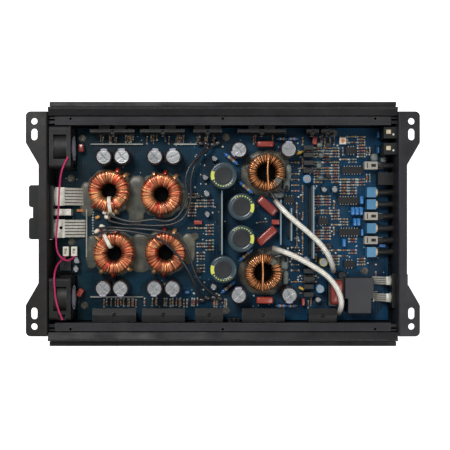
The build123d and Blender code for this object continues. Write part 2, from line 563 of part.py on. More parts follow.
ground_comb = comb_lug(-160.0, -151.0, -134.0, 17.4, 6, POWER_Z)
battery_comb = comb_lug(-160.0, -151.0, -133.0, 17.4, 6, POWER_Z)
speaker_comb = comb_lug(160.0, 156.0, 144.5, 7.8, 4, SPEAKER_Z)
with BuildPart() as power_terminal_lugs:
    for name, y in POWER_Y.items():
        with BuildSketch(Plane.YZ.offset(-181.0)):
            with Locations((y, POWER_Z)):
                Circle(6.6)
                Circle(POWER_WIRE_RADIUS, mode=Mode.SUBTRACT)
        extrude(amount=18.0)
        with BuildSketch(Plane.YZ.offset(-163.0)):
            with Locations((y, POWER_Z)):
                Circle(6.6)
        extrude(amount=3.0)
        with Locations((0, y, 0)):
            add(ground_comb if name == "ground" else battery_comb)
        with Locations((-174.0, y, 30.0)):
            Cylinder(2.5, 6.0, mode=Mode.SUBTRACT)
    with Locations((-154.4, POWER_Y["battery"] + 0.8, POWER_Z)):
        Cylinder(1.6, 4.0, mode=Mode.SUBTRACT)
    # the remote turn-on lug: a narrow ribbed strip folded down to the board
    with BuildSketch(Plane.YZ.offset(-177.0)):
        with Locations((REMOTE_Y, POWER_Z)):
            Circle(3.6)
            Circle(REMOTE_WIRE_RADIUS, mode=Mode.SUBTRACT)
    extrude(amount=14.0)
    with BuildSketch(Plane.YZ.offset(-163.0)):
        with Locations((REMOTE_Y, POWER_Z)):
            Circle(3.6)
    extrude(amount=3.0)
    with Locations((-153.0, REMOTE_Y, POWER_Z)):
        Box(16.0, 6.0, 1.6)
    with Locations((-145.8, REMOTE_Y, (POWER_Z + BOARD_TOP) / 2)):
        Box(1.6, 6.0, POWER_Z - BOARD_TOP)
    with Locations(*[(-152.0, REMOTE_Y + rib, POWER_Z + 0.9) for rib in (-2.0, 0.0, 2.0)]):
        Box(12.0, 0.8, 0.8)
    with Locations((-174.0, REMOTE_Y, 32.0)):
        Cylinder(1.6, 5.0, mode=Mode.SUBTRACT)
save(power_terminal_lugs.part, "power_terminal_lugs")

# ---------------------------------------------------------------- speaker terminals

with BuildPart() as speaker_terminal_block:
    with Locations(((160.0 + SPEAKER_FACE_X) / 2, -62.9, SPEAKER_Z)):
        Box(SPEAKER_FACE_X - 160.0, 32.2, 20.0)
    chamfer(speaker_terminal_block.faces().sort_by(Axis.X)[-1].edges(), 1.2)
    # a fin between the two ways
    with Locations((SPEAKER_FACE_X - 1.0, sum(SPEAKER_Y) / 2, SPEAKER_Z)):
        Box(3.0, 1.0, 17.0, mode=Mode.SUBTRACT)
    for y in SPEAKER_Y:
        with Locations((166.0, y, SPEAKER_Z)):
            Cylinder(5.0, 14.0, rotation=(0, 90, 0), mode=Mode.SUBTRACT)
        with Locations((SPEAKER_FACE_X, y, SPEAKER_Z)):
            Cylinder(3.6, 8.0, rotation=(0, 90, 0), mode=Mode.SUBTRACT)
        with Locations((169.0, y, 26.0)):
            Cylinder(2.4, 8.0, mode=Mode.SUBTRACT)
save(speaker_terminal_block.part, "speaker_terminal_block")

with BuildPart() as speaker_terminal_lugs:
    for y in SPEAKER_Y:
        with BuildSketch(Plane.YZ.offset(162.0)):
            with Locations((y, SPEAKER_Z)):
                Circle(5.0)
                Circle(SPEAKER_WIRE_RADIUS, mode=Mode.SUBTRACT)
        extrude(amount=11.0)
        with BuildSketch(Plane.YZ.offset(159.5)):
            with Locations((y, SPEAKER_Z)):
                Circle(5.0)
        extrude(amount=2.5)
        with Locations((0, y, 0)):
            add(speaker_comb)
        with Locations((169.0, y, 28.0)):
            Cylinder(2.1, 7.0, mode=Mode.SUBTRACT)
save(speaker_terminal_lugs.part, "speaker_terminal_lugs")

# grub screws that grip the wires: x, y, lowest z, radius, length
TERMINAL_SCREWS = [(-174.0, y, 24.6, 2.45, 6.0) for y in POWER_Y.values()]
TERMINAL_SCREWS += [(-174.0, REMOTE_Y, 26.6, 1.55, 6.0)]
TERMINAL_SCREWS += [(169.0, y, 25.0, 2.05, 6.0) for y in SPEAKER_Y]
with BuildPart() as terminal_screws:
    for x, y, z, radius, length in TERMINAL_SCREWS:
        with Locations((x, y, z)):
            Cylinder(radius, length, align=(Align.CENTER, Align.CENTER, Align.MIN))
            Cylinder(radius / 2, 4.0, mode=Mode.SUBTRACT)
save(terminal_screws.part, "terminal_screws")

# ---------------------------------------------------------------- fans

HUB_PLATE_X = FAN_X + 17.0
for place, fan_y in FAN_Y.items():
    centre = (fan_y, FAN_Z)
    with BuildPart() as frame:
        with BuildSketch(Plane.YZ.offset(FAN_X)):
            with Locations(centre):
                RectangleRounded(FAN_SIZE, FAN_SIZE, 3.0)
                Circle(FAN_BORE, mode=Mode.SUBTRACT)
                with GridLocations(FAN_HOLE_PITCH, FAN_HOLE_PITCH, 2, 2):
                    Circle(1.5, mode=Mode.SUBTRACT)
        extrude(amount=FAN_DEPTH)
        # the barrel shows between the two end flanges
        with BuildSketch(Plane.YZ.offset(FAN_X + 3.8)):
            with Locations(centre):
                Rectangle(23.0, FAN_SIZE + 1.0)
                Rectangle(FAN_SIZE + 1.0, 23.0)
                Circle(FAN_BORE + 0.7, mode=Mode.SUBTRACT)
        extrude(amount=12.4, mode=Mode.SUBTRACT)
        # hub plate, struts and bearing tube
        with BuildSketch(Plane.YZ.offset(HUB_PLATE_X)):
            with Locations(centre):
                Circle(11.8)
                with PolarLocations(0, 3, start_angle=45, angular_range=180):
                    Rectangle(2 * FAN_BORE + 0.8, 2.6)
        extrude(amount=3.0)
        with BuildSketch(Plane.YZ.offset(FAN_X + 4.5)):
            with Locations(centre):
                Circle(3.2)
        extrude(amount=HUB_PLATE_X - FAN_X - 4.5)
        with BuildSketch(Plane.YZ.offset(FAN_X + 4.0)):
            with Locations(centre):
                Circle(FAN_SHAFT_RADIUS + FAN_SHAFT_FIT)
        extrude(amount=15.0, mode=Mode.SUBTRACT)
        # the edge that the lead comes over is notched
        if place == "lower":
            with Locations((FAN_NOTCH_X, fan_y - FAN_SIZE / 2, FAN_Z + FAN_SIZE / 2)):
                Box(*FAN_NOTCH, mode=Mode.SUBTRACT)
    save(frame.part, f"fan_frame_{place}")

    with BuildPart() as rotor:
        with BuildSketch(Plane.YZ.offset(FAN_X + 2.0)):
            with Locations(centre):
                Circle(11.5)
        extrude(amount=13.0)
        with BuildSketch(Plane.YZ.offset(FAN_X + 3.4)):
            with Locations(centre):
                Circle(10.6)
                Circle(FAN_SHAFT_RADIUS, mode=Mode.SUBTRACT)
        extrude(amount=12.0, mode=Mode.SUBTRACT)
        with BuildSketch(Plane.YZ.offset(FAN_X + 3.0)):
            with Locations(centre):
                Circle(FAN_SHAFT_RADIUS)
        extrude(amount=15.6)
        # pitched blades around the cup
        for number in range(FAN_BLADES):
            turn = 360.0 * number / FAN_BLADES
            out = 14.3
            y = fan_y + out * cos(radians(turn))
            z = FAN_Z + out * sin(radians(turn))
            blade = Box(12.4, 1.2, 6.6, mode=Mode.PRIVATE)
            add(Pos(FAN_X + 8.6, y, z) * Rot(X=turn - 90) * Rot(Z=40) * blade)
    save(rotor.part, f"fan_rotor_{place}")

with BuildPart() as fan_stators:
    for fan_y in FAN_Y.values():
        with BuildSketch(Plane.YZ.offset(FAN_X + 5.6)):
            with Locations((fan_y, FAN_Z)):
                Circle(9.4)
                Circle(3.2, mode=Mode.SUBTRACT)
                with PolarLocations(8.2, 4, start_angle=45):
                    Rectangle(5.6, 1.6, mode=Mode.SUBTRACT)
        extrude(amount=8.4)
save(fan_stators.part, "fan_stators")

with BuildPart() as fan_screws:
    for fan_y in FAN_Y.values():
        with Locations((-PLATE_OUTSIDE - 1.0, fan_y, FAN_Z)):
            with GridLocations(0, FAN_HOLE_PITCH, 1, 2):
                with Locations((0, 0, -FAN_HOLE_PITCH / 2), (0, 0, FAN_HOLE_PITCH / 2)):
                    Cylinder(3.2, 2.0, rotation=(0, 90, 0))
                with Locations((5.0, 0, -FAN_HOLE_PITCH / 2), (5.0, 0, FAN_HOLE_PITCH / 2)):
                    Cylinder(1.45, 9.0, rotation=(0, 90, 0))
save(fan_screws.part, "fan_screws")

PLUG_PLACES = [(-150.5, -26.2), (-142.6, -26.2)]
with BuildPart() as fan_plugs:
    for x, y in PLUG_PLACES:
        with Locations((x, y, 30.3)):
            Box(5.4, 9.0, 5.0)
            Box(2.2, 5.0, 3.0, mode=Mode.SUBTRACT)
        with Locations((x, y, 32.2)):
            Box(3.0, 5.4, 1.4, mode=Mode.SUBTRACT)
save(fan_plugs.part, "fan_plugs")

# ---------------------------------------------------------------- wound parts

WINDING_ARC = 348.0
CORE_GAP = 0.1
CORE_BOTTOM = WOUND_BOTTOM + 3.2
CORE_TOP = WOUND_TOP - 3.2
WOUND_MIDDLE = (WOUND_BOTTOM + WOUND_TOP) / 2
# kind, places, winding's inner and outer radius, core's inner and outer radius
WOUND_KINDS = [
    ("transformer", TRANSFORMERS, 7.0, 20.0, 10.0, 17.0),
    ("inductor", INDUCTORS, 8.4, 18.6, 10.6, 16.4),
]
with BuildPart() as toroid_cores:
    for kind, places, inner, outer, core_inner, core_outer in WOUND_KINDS:
        for x, y in places:
            with BuildSketch(Plane.XY.offset(CORE_BOTTOM)):
                with Locations((x, y)):
                    Circle(core_outer)
                    Circle(core_inner, mode=Mode.SUBTRACT)
            extrude(amount=CORE_TOP - CORE_BOTTOM)
save(toroid_cores.part, "toroid_cores")

for kind, places, inner, outer, core_inner, core_outer in WOUND_KINDS:
    with BuildPart() as winding:
        with BuildSketch(Plane.XZ):
            with Locations(((inner + outer) / 2, WOUND_MIDDLE)):
                RectangleRounded(outer - inner, WOUND_TOP - WOUND_BOTTOM, 4.2)
            with Locations(((core_inner + core_outer) / 2, WOUND_MIDDLE)):
                Rectangle(core_outer - core_inner + 2 * CORE_GAP, CORE_TOP - CORE_BOTTOM + 2 * CORE_GAP,
                          mode=Mode.SUBTRACT)
        revolve(axis=Axis.Z, revolution_arc=WINDING_ARC)
    with BuildPart() as windings:
        with Locations(*[(x, y, 0) for x, y in places]):
            add(winding.part)
    save(windings.part, f"{kind}_windings")

# cable ties around one side of two of the transformers: place, direction of the loop from the axis
TIES = [(TRANSFORMERS[0], -84.0), (TRANSFORMERS[2], 116.0)]
TIE_WIDTH = 3.2
TIE_MIDDLE = 13.35
TIE_REACH = 15.7
TIE_HEIGHT = 21.0
TIE_THICKNESS = 1.1
with BuildPart() as tie:
    with BuildSketch(Plane.XZ.offset(-TIE_WIDTH / 2)):
        with Locations((TIE_MIDDLE, WOUND_MIDDLE)):
            RectangleRounded(TIE_REACH, TIE_HEIGHT, 4.8)
            RectangleRounded(TIE_REACH - 2 * TIE_THICKNESS, TIE_HEIGHT - 2 * TIE_THICKNESS + 0.2, 4.2,
                             mode=Mode.SUBTRACT)
    extrude(amount=TIE_WIDTH)
    with Locations((22.6, 0, 32.0)):
        Box(3.6, 5.0, 4.6)
with BuildPart() as cable_ties:
    for (x, y), turn in TIES:
        add(Pos(x, y, 0) * Rot(Z=turn) * tie.part)
save(cable_ties.part, "cable_ties")

BED_TOP = 24.5
with BuildPart() as adhesive_beds:
    with BuildSketch(Plane.XY.offset(BOARD_TOP)):
        for x, y in TRANSFORMERS:
            with Locations((x - 1.0, y)):
                Ellipse(23.4, 21.6)
        for x, y in INDUCTORS:
            with Locations((x + 0.6, y)):
                Ellipse(22.8, 22.2)
        with Locations(*FILTER_CAPACITORS):
            Circle(FILTER_RADIUS + 0.3, mode=Mode.SUBTRACT)
    extrude(amount=BED_TOP - BOARD_TOP)
save(adhesive_beds.part, "adhesive_beds")

# ---------------------------------------------------------------- capacitors and resistors

with BuildPart() as main_capacitor_cans:
    with BuildSketch(Plane.XY.offset(BOARD_TOP + 0.5)):
        with Locations(*MAIN_CAPACITORS):
            Circle(MAIN_RADIUS - 0.5)
    extrude(amount=MAIN_TOP - BOARD_TOP - 1.1)
    fillet(main_capacitor_cans.faces().filter_by(GeomType.PLANE).group_by(Axis.Z)[-1].edges(), 1.8)
save(main_capacitor_cans.part, "main_capacitor_cans")

with BuildPart() as sleeve:
    with BuildSketch(Plane.XZ):
        with BuildLine():
            Polyline((MAIN_RADIUS - 0.45, BOARD_TOP), (MAIN_RADIUS, BOARD_TOP), (MAIN_RADIUS, MAIN_TOP - 1.4),
                     (MAIN_RADIUS - 1.4, MAIN_TOP), (8.1, MAIN_TOP), (8.1, MAIN_TOP - 0.5),
                     (MAIN_RADIUS - 1.2, MAIN_TOP - 0.5), (MAIN_RADIUS - 0.45, MAIN_TOP - 1.4), close=True)
        make_face()
    revolve(axis=Axis.Z)
with BuildPart() as main_capacitor_sleeves:
    with Locations(*[(x, y, 0) for x, y in MAIN_CAPACITORS]):
        add(sleeve.part)
save(main_capacitor_sleeves.part, "main_capacitor_sleeves")

with BuildPart() as can:
    with BuildSketch(Plane.XZ):
        with BuildLine():
            Polyline((0, BOARD_TOP), (FILTER_RADIUS - 0.4, BOARD_TOP), (FILTER_RADIUS, BOARD_TOP + 0.6),
                     (FILTER_RADIUS, BOARD_TOP + 2.2), (FILTER_RADIUS - 0.7, BOARD_TOP + 3.0),
                     (FILTER_RADIUS, BOARD_TOP + 3.8), (FILTER_RADIUS, FILTER_TOP - 1.2),
                     (FILTER_RADIUS - 1.1, FILTER_TOP), (0, FILTER_TOP), close=True)
        make_face()
    revolve(axis=Axis.Z)
with BuildPart() as filter_capacitors:
    with Locations(*[(x, y, 0) for x, y in FILTER_CAPACITORS]):
        add(can.part)
save(filter_capacitors.part, "filter_capacitors")

with BuildPart() as signal_capacitors:
    for x, y, radius, top in SIGNAL_CAPACITORS:
        with Locations((x, y, BOARD_TOP)):
            Cylinder(radius, top - BOARD_TOP, align=(Align.CENTER, Align.CENTER, Align.MIN))
    fillet(signal_capacitors.edges().filter_by(GeomType.CIRCLE).filter_by(
        lambda e: e.center().Z > BOARD_TOP + 1), 0.6)
save(signal_capacitors.part, "signal_capacitors")

with BuildPart() as film_capacitors:
    for x, y, length, width, bottom, top, turn in FILM_CAPACITORS:
        with Locations(Location((x, y, (bottom + top) / 2), (0, 0, turn))):
            Box(length, width, top - bottom)
    fillet(film_capacitors.edges().filter_by(Axis.Z), 0.9)
save(film_capacitors.part, "film_capacitors")

with BuildPart() as power_resistors:
    for x, y, length, radius, height, turn in POWER_RESISTORS:
        with Locations(Location((x, y, height), (0, 0, turn))):
            Cylinder(radius, length, rotation=(0, 90, 0))
save(power_resistors.part, "power_resistors")

# ---------------------------------------------------------------- relay, chips, boards and bars

with BuildPart() as relay_base:
    with BuildSketch(Plane.XY.offset(BOARD_TOP)):
        with Locations((129.3, -60.9)):
            Rectangle(26.8, 19.6)
        with Locations((129.5, -77.6)):
            Rectangle(21.6, 13.8)
    extrude(amount=2.2)
save(relay_base.part, "relay_base")

with BuildPart() as relay_cover:
    with BuildSketch(Plane.XY.offset(BOARD_TOP + 2.2)):
        with Locations((129.3, -60.9)):
            Rectangle(27.2, 20.0)
        with Locations((129.5, -77.7)):
            Rectangle(22.0, 14.0)
    extrude(amount=17.8)
    fillet(relay_cover.edges().filter_by(Axis.Z), 0.8)
    fillet(relay_cover.faces().sort_by(Axis.Z)[-1].edges(), 0.6)
save(relay_cover.part, "relay_cover")

with BuildPart() as chips:
    for x, y, length in CHIPS:
        with Locations((x, y, (BOARD_TOP + 0.6 + CHIP_TOP) / 2)):
            Box(length, CHIP_WIDTH, CHIP_TOP - BOARD_TOP - 0.6)
        with Locations((x - length / 2, y, CHIP_TOP)):
            Cylinder(0.9, 1.0, mode=Mode.SUBTRACT)
    # a flat voltage regulator beside the fan plugs
    with Locations((-151.6, -39.0, 25.0)):
        Box(10.4, 11.6, 4.6)
save(chips.part, "chips")

MODULE_THICKNESS = 1.2
with BuildPart() as module_boards:
    for x, low, high, top in MODULE_BOARDS + [SCREEN_PLATE]:
        with Locations((x, (low + high) / 2, BOARD_TOP + 0.4)):
            Box(MODULE_THICKNESS, high - low, top - BOARD_TOP - 0.4, align=(Align.CENTER, Align.CENTER, Align.MIN))
save(module_boards.part, "module_boards")

with BuildPart() as board_headers:
    for x, low, high, _ in MODULE_BOARDS:
        with Locations((x - MODULE_THICKNESS / 2 - 1.25, (low + high) / 2, BOARD_TOP)):
            Box(2.5, high - low - 6.0, 5.0, align=(Align.CENTER, Align.CENTER, Align.MIN))
    for x, y in PLUG_PLACES:
        with Locations((x, y, BOARD_TOP)):
            Box(6.0, 9.4, 5.2, align=(Align.CENTER, Align.CENTER, Align.MIN))
save(board_headers.part, "board_headers")

# flat bars soldered along the supply tracks: x, y, length along X, length along Y
BUS_BARS = [(-102.5, 77.0, 51.0, 1.2), (-102.5, -70.4, 51.0, 1.2), (-131.6, -9.0, 1.2, 46.0), (-36.5, 77.0, 22.0, 1.2)]
with BuildPart() as bus_bars:
    for x, y, length, width in BUS_BARS:
        with Locations((x, y, BOARD_TOP)):
            Box(length, width, 3.4, align=(Align.CENTER, Align.CENTER, Align.MIN))
save(bus_bars.part, "bus_bars")

# ---------------------------------------------------------------- controls at the signal end

POT_BACK = 137.9
POT_FRONT = 146.2
COLLAR_FRONT = 148.2
with BuildPart() as pot_bodies:
    for y in POT_Y:
        with Locations(((POT_BACK + POT_FRONT) / 2, y, (BOARD_TOP + 34.0) / 2)):
            Box(POT_FRONT - POT_BACK, 9.4, 34.0 - BOARD_TOP)
        with Locations(((POT_FRONT + COLLAR_FRONT) / 2, y, CONTROL_Z)):
            Cylinder(3.4, COLLAR_FRONT - POT_FRONT, rotation=(0, 90, 0))
        with Locations((COLLAR_FRONT - 3.5, y, CONTROL_Z)):
            Cylinder(POT_STEM_RADIUS + POT_STEM_FIT, 7.0, rotation=(0, 90, 0), mode=Mode.SUBTRACT)
save(pot_bodies.part, "pot_bodies")

for number, y in enumerate(POT_Y, 1):
    with BuildPart() as shaft:
        with Locations((145.4, y, CONTROL_Z)):
            Cylinder(POT_STEM_RADIUS, 7.2, rotation=(0, 90, 0))
        with Locations((157.2, y, CONTROL_Z)):
            Cylinder(3.0, 17.0, rotation=(0, 90, 0))
        chamfer(shaft.faces().sort_by(Axis.X)[-1].edges(), 0.4)
        # the screwdriver slot
        with Locations((165.4, y, CONTROL_Z)):
            Box(1.6, 4.4, 0.9, mode=Mode.SUBTRACT)
    save(shaft.part, f"pot_shaft_{number}")

SWITCH_BACK = 135.6
SWITCH_FRONT = 148.1
with BuildPart() as switch_bodies:
    for y in SWITCH_Y:
        with Locations(((SWITCH_BACK + SWITCH_FRONT) / 2, y, (BOARD_TOP + 33.4) / 2)):
            Box(SWITCH_FRONT - SWITCH_BACK, 7.3, 33.4 - BOARD_TOP)
        # the latch's window in the top, and the guide that the plunger runs in
        with Locations((144.2, y, 33.4)):
            Box(4.6, 3.0, 2.4, mode=Mode.SUBTRACT)
        with Locations((SWITCH_FRONT - 4.0, y, CONTROL_Z - 0.6)):
            Box(8.2, 3.7, 3.7, mode=Mode.SUBTRACT)
save(switch_bodies.part, "switch_bodies")

for number, y in enumerate(SWITCH_Y, 1):
    with BuildPart() as plunger:
        with Locations((151.0, y, CONTROL_Z - 0.6)):
            Box(8.0, 3.0, 3.0)
        with Locations((152.6, y, CONTROL_Z - 0.6)):
            Box(1.0, 5.2, 5.2)
        with Locations((154.6, y, CONTROL_Z)):
            Cylinder(2.9, 1.6, rotation=(0, 90, 0))
        with Locations((161.0, y, CONTROL_Z)):
            Cylinder(3.1, 12.0, rotation=(0, 90, 0))
        fillet(plunger.faces().sort_by(Axis.X)[-1].edges(), 0.7)
    save(plunger.part, f"switch_plunger_{number}")

with BuildPart() as phono_jack_bodies:
    for y in PHONO_Y:
        with Locations((157.0, y, (BOARD_TOP + 49.8) / 2)):
            Box(12.0, 10.6, 49.8 - BOARD_TOP)
        with Locations(*[(168.2, y, z) for z in PHONO_Z]):
            Cylinder(3.6, 10.4, rotation=(0, 90, 0))
        with Locations(*[(169.0, y, z) for z in PHONO_Z]):
            Cylinder(1.65, 10.0, rotation=(0, 90, 0), mode=Mode.SUBTRACT)
save(phono_jack_bodies.part, "phono_jack_bodies")

with BuildPart() as phono_jack_shells:
    with BuildSketch(Plane.YZ.offset(PLATE_OUTSIDE)):
        with Locations(*[(y, z) for y in PHONO_Y for z in PHONO_Z]):
            Circle(PHONO_BARREL_RADIUS)
            Circle(3.6, mode=Mode.SUBTRACT)
    extrude(amount=PHONO_TIP_X - PLATE_OUTSIDE)
save(phono_jack_shells.part, "phono_jack_shells")

with BuildPart() as remote_level_socket:
    with Locations((155.3, SOCKET_Y, 29.5)):
        Box(14.6, 11.6, 13.8)
    with Locations((157.6, SOCKET_Y, 29.5)):
        Box(11.0, 9.6, 7.0, mode=Mode.SUBTRACT)
    with Locations((157.6, SOCKET_Y, 25.4)):
        Box(11.0, 3.4, 2.4, mode=Mode.SUBTRACT)
save(remote_level_socket.part, "remote_level_socket")

# ---------------------------------------------------------------- loose leads

for place, points in FAN_LEADS.items():
    tube(f"fan_lead_{place}", points, FAN_LEAD_DIAMETER)
for name, points in POWER_WIRES.items():
    tube(name, points, POWER_WIRE_DIAMETER)
for name, points in OUTPUT_CABLES.items():
    tube(name, points, OUTPUT_CABLE_DIAMETER)
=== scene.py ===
"""A car audio amplifier, cover off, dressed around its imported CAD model.

Tables and shapes are in millimetres in the CAD's frame, and become metres when a mesh is made.
"""

import math

import bmesh
import bpy
import numpy as np
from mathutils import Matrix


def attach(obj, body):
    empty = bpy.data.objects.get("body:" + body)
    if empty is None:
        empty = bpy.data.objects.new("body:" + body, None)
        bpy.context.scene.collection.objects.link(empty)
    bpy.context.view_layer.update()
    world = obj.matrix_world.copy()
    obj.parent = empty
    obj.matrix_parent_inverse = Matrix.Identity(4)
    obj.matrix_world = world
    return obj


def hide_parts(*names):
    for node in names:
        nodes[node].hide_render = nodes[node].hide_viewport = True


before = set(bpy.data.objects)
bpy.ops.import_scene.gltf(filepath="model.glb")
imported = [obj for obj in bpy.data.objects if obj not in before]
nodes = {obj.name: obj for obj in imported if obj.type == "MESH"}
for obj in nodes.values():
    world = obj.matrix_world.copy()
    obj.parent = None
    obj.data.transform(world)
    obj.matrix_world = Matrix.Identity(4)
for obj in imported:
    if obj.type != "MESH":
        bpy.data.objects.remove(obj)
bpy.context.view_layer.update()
rng = np.random.default_rng(11)

MM = 0.001
BODY = "amplifier"
BOARD_TOP = 22.6
# the wound parts' turns lie between these heights
WINDING_BOTTOM, WINDING_TOP = 25.6, 44.4
# pitches of legs and pins, and rows of the power transistors' legs
LEG_PITCH = 2.54
TRANSISTOR_PITCH = 10.9
TRANSISTOR_LEG_Y = 88.6
CHIP_PIN_Y = 3.75
# the line of the level controls and switches
CONTROL_X = 142.0
CONTROL_Z = 29.0
DUST_GREY = "#8f8d86"

# ---------------------------------------------------------------- places, as in the CAD

TRANSFORMERS = [(-108.6, 31.5), (-58.8, 28.2), (-103.6, -27.8), (-54.5, -27.2)]
INDUCTORS = [(41.3, 49.2), (38.5, -46.1)]
MAIN_CAPACITORS = [(0.6, 45.3), (17.4, 15.9), (17.3, -13.8), (0.4, -42.5)]
# upright filter capacitors: x, y, direction of the printed stripe, turn of the vent
FILTER_CAPACITORS = [
    (-112.2, 63.2, 88, 45), (-95.2, 63.5, 92, 40), (-64.1, 63.5, 86, 45), (-46.8, 63.5, 95, 20),
    (-112.8, -60.8, 268, 45), (-96.5, -60.8, 272, 38), (-64.5, -60.8, 266, 50), (-47.5, -60.8, 274, 45),
    (15.3, 69.9, 215, 45), (62.0, 70.3, 88, 0), (14.9, -67.5, 92, 45), (62.8, -67.1, 268, 30),
]
# small upright capacitors: x, y, radius, top
SIGNAL_CAPACITORS = [
    (80.4, 43.0, 4.0, 35.0), (92.9, -62.1, 4.0, 35.0), (79.6, -35.4, 4.0, 35.0),
    (96.3, -36.8, 4.0, 34.0), (-8.0, 62.6, 2.9, 32.0), (-17.0, 44.5, 2.9, 32.0),
    (-15.5, 29.0, 3.2, 33.0), (-15.0, 9.5, 2.9, 32.0), (-9.0, -60.2, 3.2, 33.0),
    (107.0, 33.0, 3.2, 33.0), (97.0, 33.0, 2.9, 32.0), (91.0, -72.6, 2.9, 32.0),
    (-140.5, -35.0, 3.1, 32.0), (-141.0, -43.0, 3.1, 32.0),
]
# dipped and boxed film capacitors: x, y, length, width, bottom, top, turn
FILM_CAPACITORS = [
    (40.6, 76.4, 16.5, 5.5, 24.0, 36.0, 0.0), (40.0, -73.0, 16.5, 6.5, 24.0, 36.0, 0.0),
    (42.4, 17.3, 22.0, 8.5, 26.5, 38.0, -42.0), (41.8, -11.3, 22.0, 8.5, 26.5, 38.0, 42.0),
    (50.6, 1.8, 8.0, 5.0, 24.0, 31.0, 0.0), (108.2, -65.1, 12.0, 23.5, 22.6, 42.0, 0.0),
    (88.0, 80.0, 4.5, 8.0, 24.0, 32.0, 0.0), (77.0, -75.0, 3.0, 7.5, 24.0, 32.0, 0.0),
    (-136.0, 73.0, 5.0, 8.0, 24.0, 33.0, 0.0), (-137.0, -66.0, 5.0, 8.0, 24.0, 33.0, -30.0),
    (-24.0, 1.5, 8.0, 4.0, 24.0, 31.0, 0.0),
    (133.4, 23.0, 3.6, 8.0, 22.6, 30.0, 0.0), (125.0, 12.4, 3.7, 8.0, 22.6, 30.0, 0.0),
    (129.0, 12.4, 3.7, 8.0, 22.6, 30.0, 0.0), (133.0, 12.4, 3.7, 8.0, 22.6, 30.0, 0.0),
    (126.9, 1.8, 3.4, 7.6, 22.6, 30.0, 0.0), (130.5, 1.8, 3.4, 7.6, 22.6, 30.0, 0.0),
    (133.9, -8.2, 2.6, 6.8, 22.6, 30.0, 0.0), (116.5, -18.2, 3.4, 8.0, 22.6, 30.0, 0.0),
]
# wire-ended power resistors: x, y, length, radius, height, turn
POWER_RESISTORS = [
    (8.0, 62.6, 15.0, 2.0, 28.0, -40.0), (22.0, 35.0, 15.0, 2.0, 28.4, -40.0),
    (22.0, -30.0, 15.0, 2.0, 28.4, 40.0), (5.0, -61.0, 15.0, 2.0, 28.0, 40.0),
    (57.0, 82.0, 8.0, 1.7, 27.0, 0.0), (67.0, 82.0, 8.0, 1.7, 27.0, 0.0),
    (56.5, -79.0, 8.0, 1.7, 27.0, 0.0), (66.5, -79.0, 8.0, 1.7, 27.0, 0.0),
]
# chips: x, y, length
CHIPS = [
    (123.6, 71.0, 9.8), (124.8, 52.0, 20.2), (121.1, 22.8, 20.2), (121.9, -7.8, 20.2),
    (121.9, -38.6, 9.8), (96.5, 3.0, 9.8), (63.9, 23.5, 9.8),
]
# clamp bars along the back and front walls: start and end
BARS_BACK = [(-125.5, -83.5), (-78.0, -36.0), (-28.0, -1.0), (14.0, 59.5), (79.0, 90.5), (93.0, 105.0)]
BARS_FRONT = [(-123.0, -82.0), (-76.0, -36.0), (-26.0, 0.0), (18.0, 58.0), (81.0, 107.0)]
# plug-in boards on edge: x, start and end along Y, top
MODULE_BOARDS = [(-0.9, -29.0, 31.6, 42.0), (65.0, -16.0, 15.0, 42.0), (85.8, -32.6, 36.4, 44.0)]
POT_Y = [30.3, 18.8, -4.1, -26.9]
SWITCH_Y = [56.0, 7.5, -15.5]
PHONO_Y = [85.7, 70.6]
FAN_Y = {"upper": 72.0, "lower": -70.0}
FAN_Z = 35.3
BOARD_SCREWS = [
    (-136.5, 83.0), (-134.0, -79.0), (-27.0, -12.0), (3.0, -84.0), (3.0, 84.0), (107.0, 88.0),
    (137.0, -45.4), (-147.0, 44.5), (-146.5, -17.2),
]

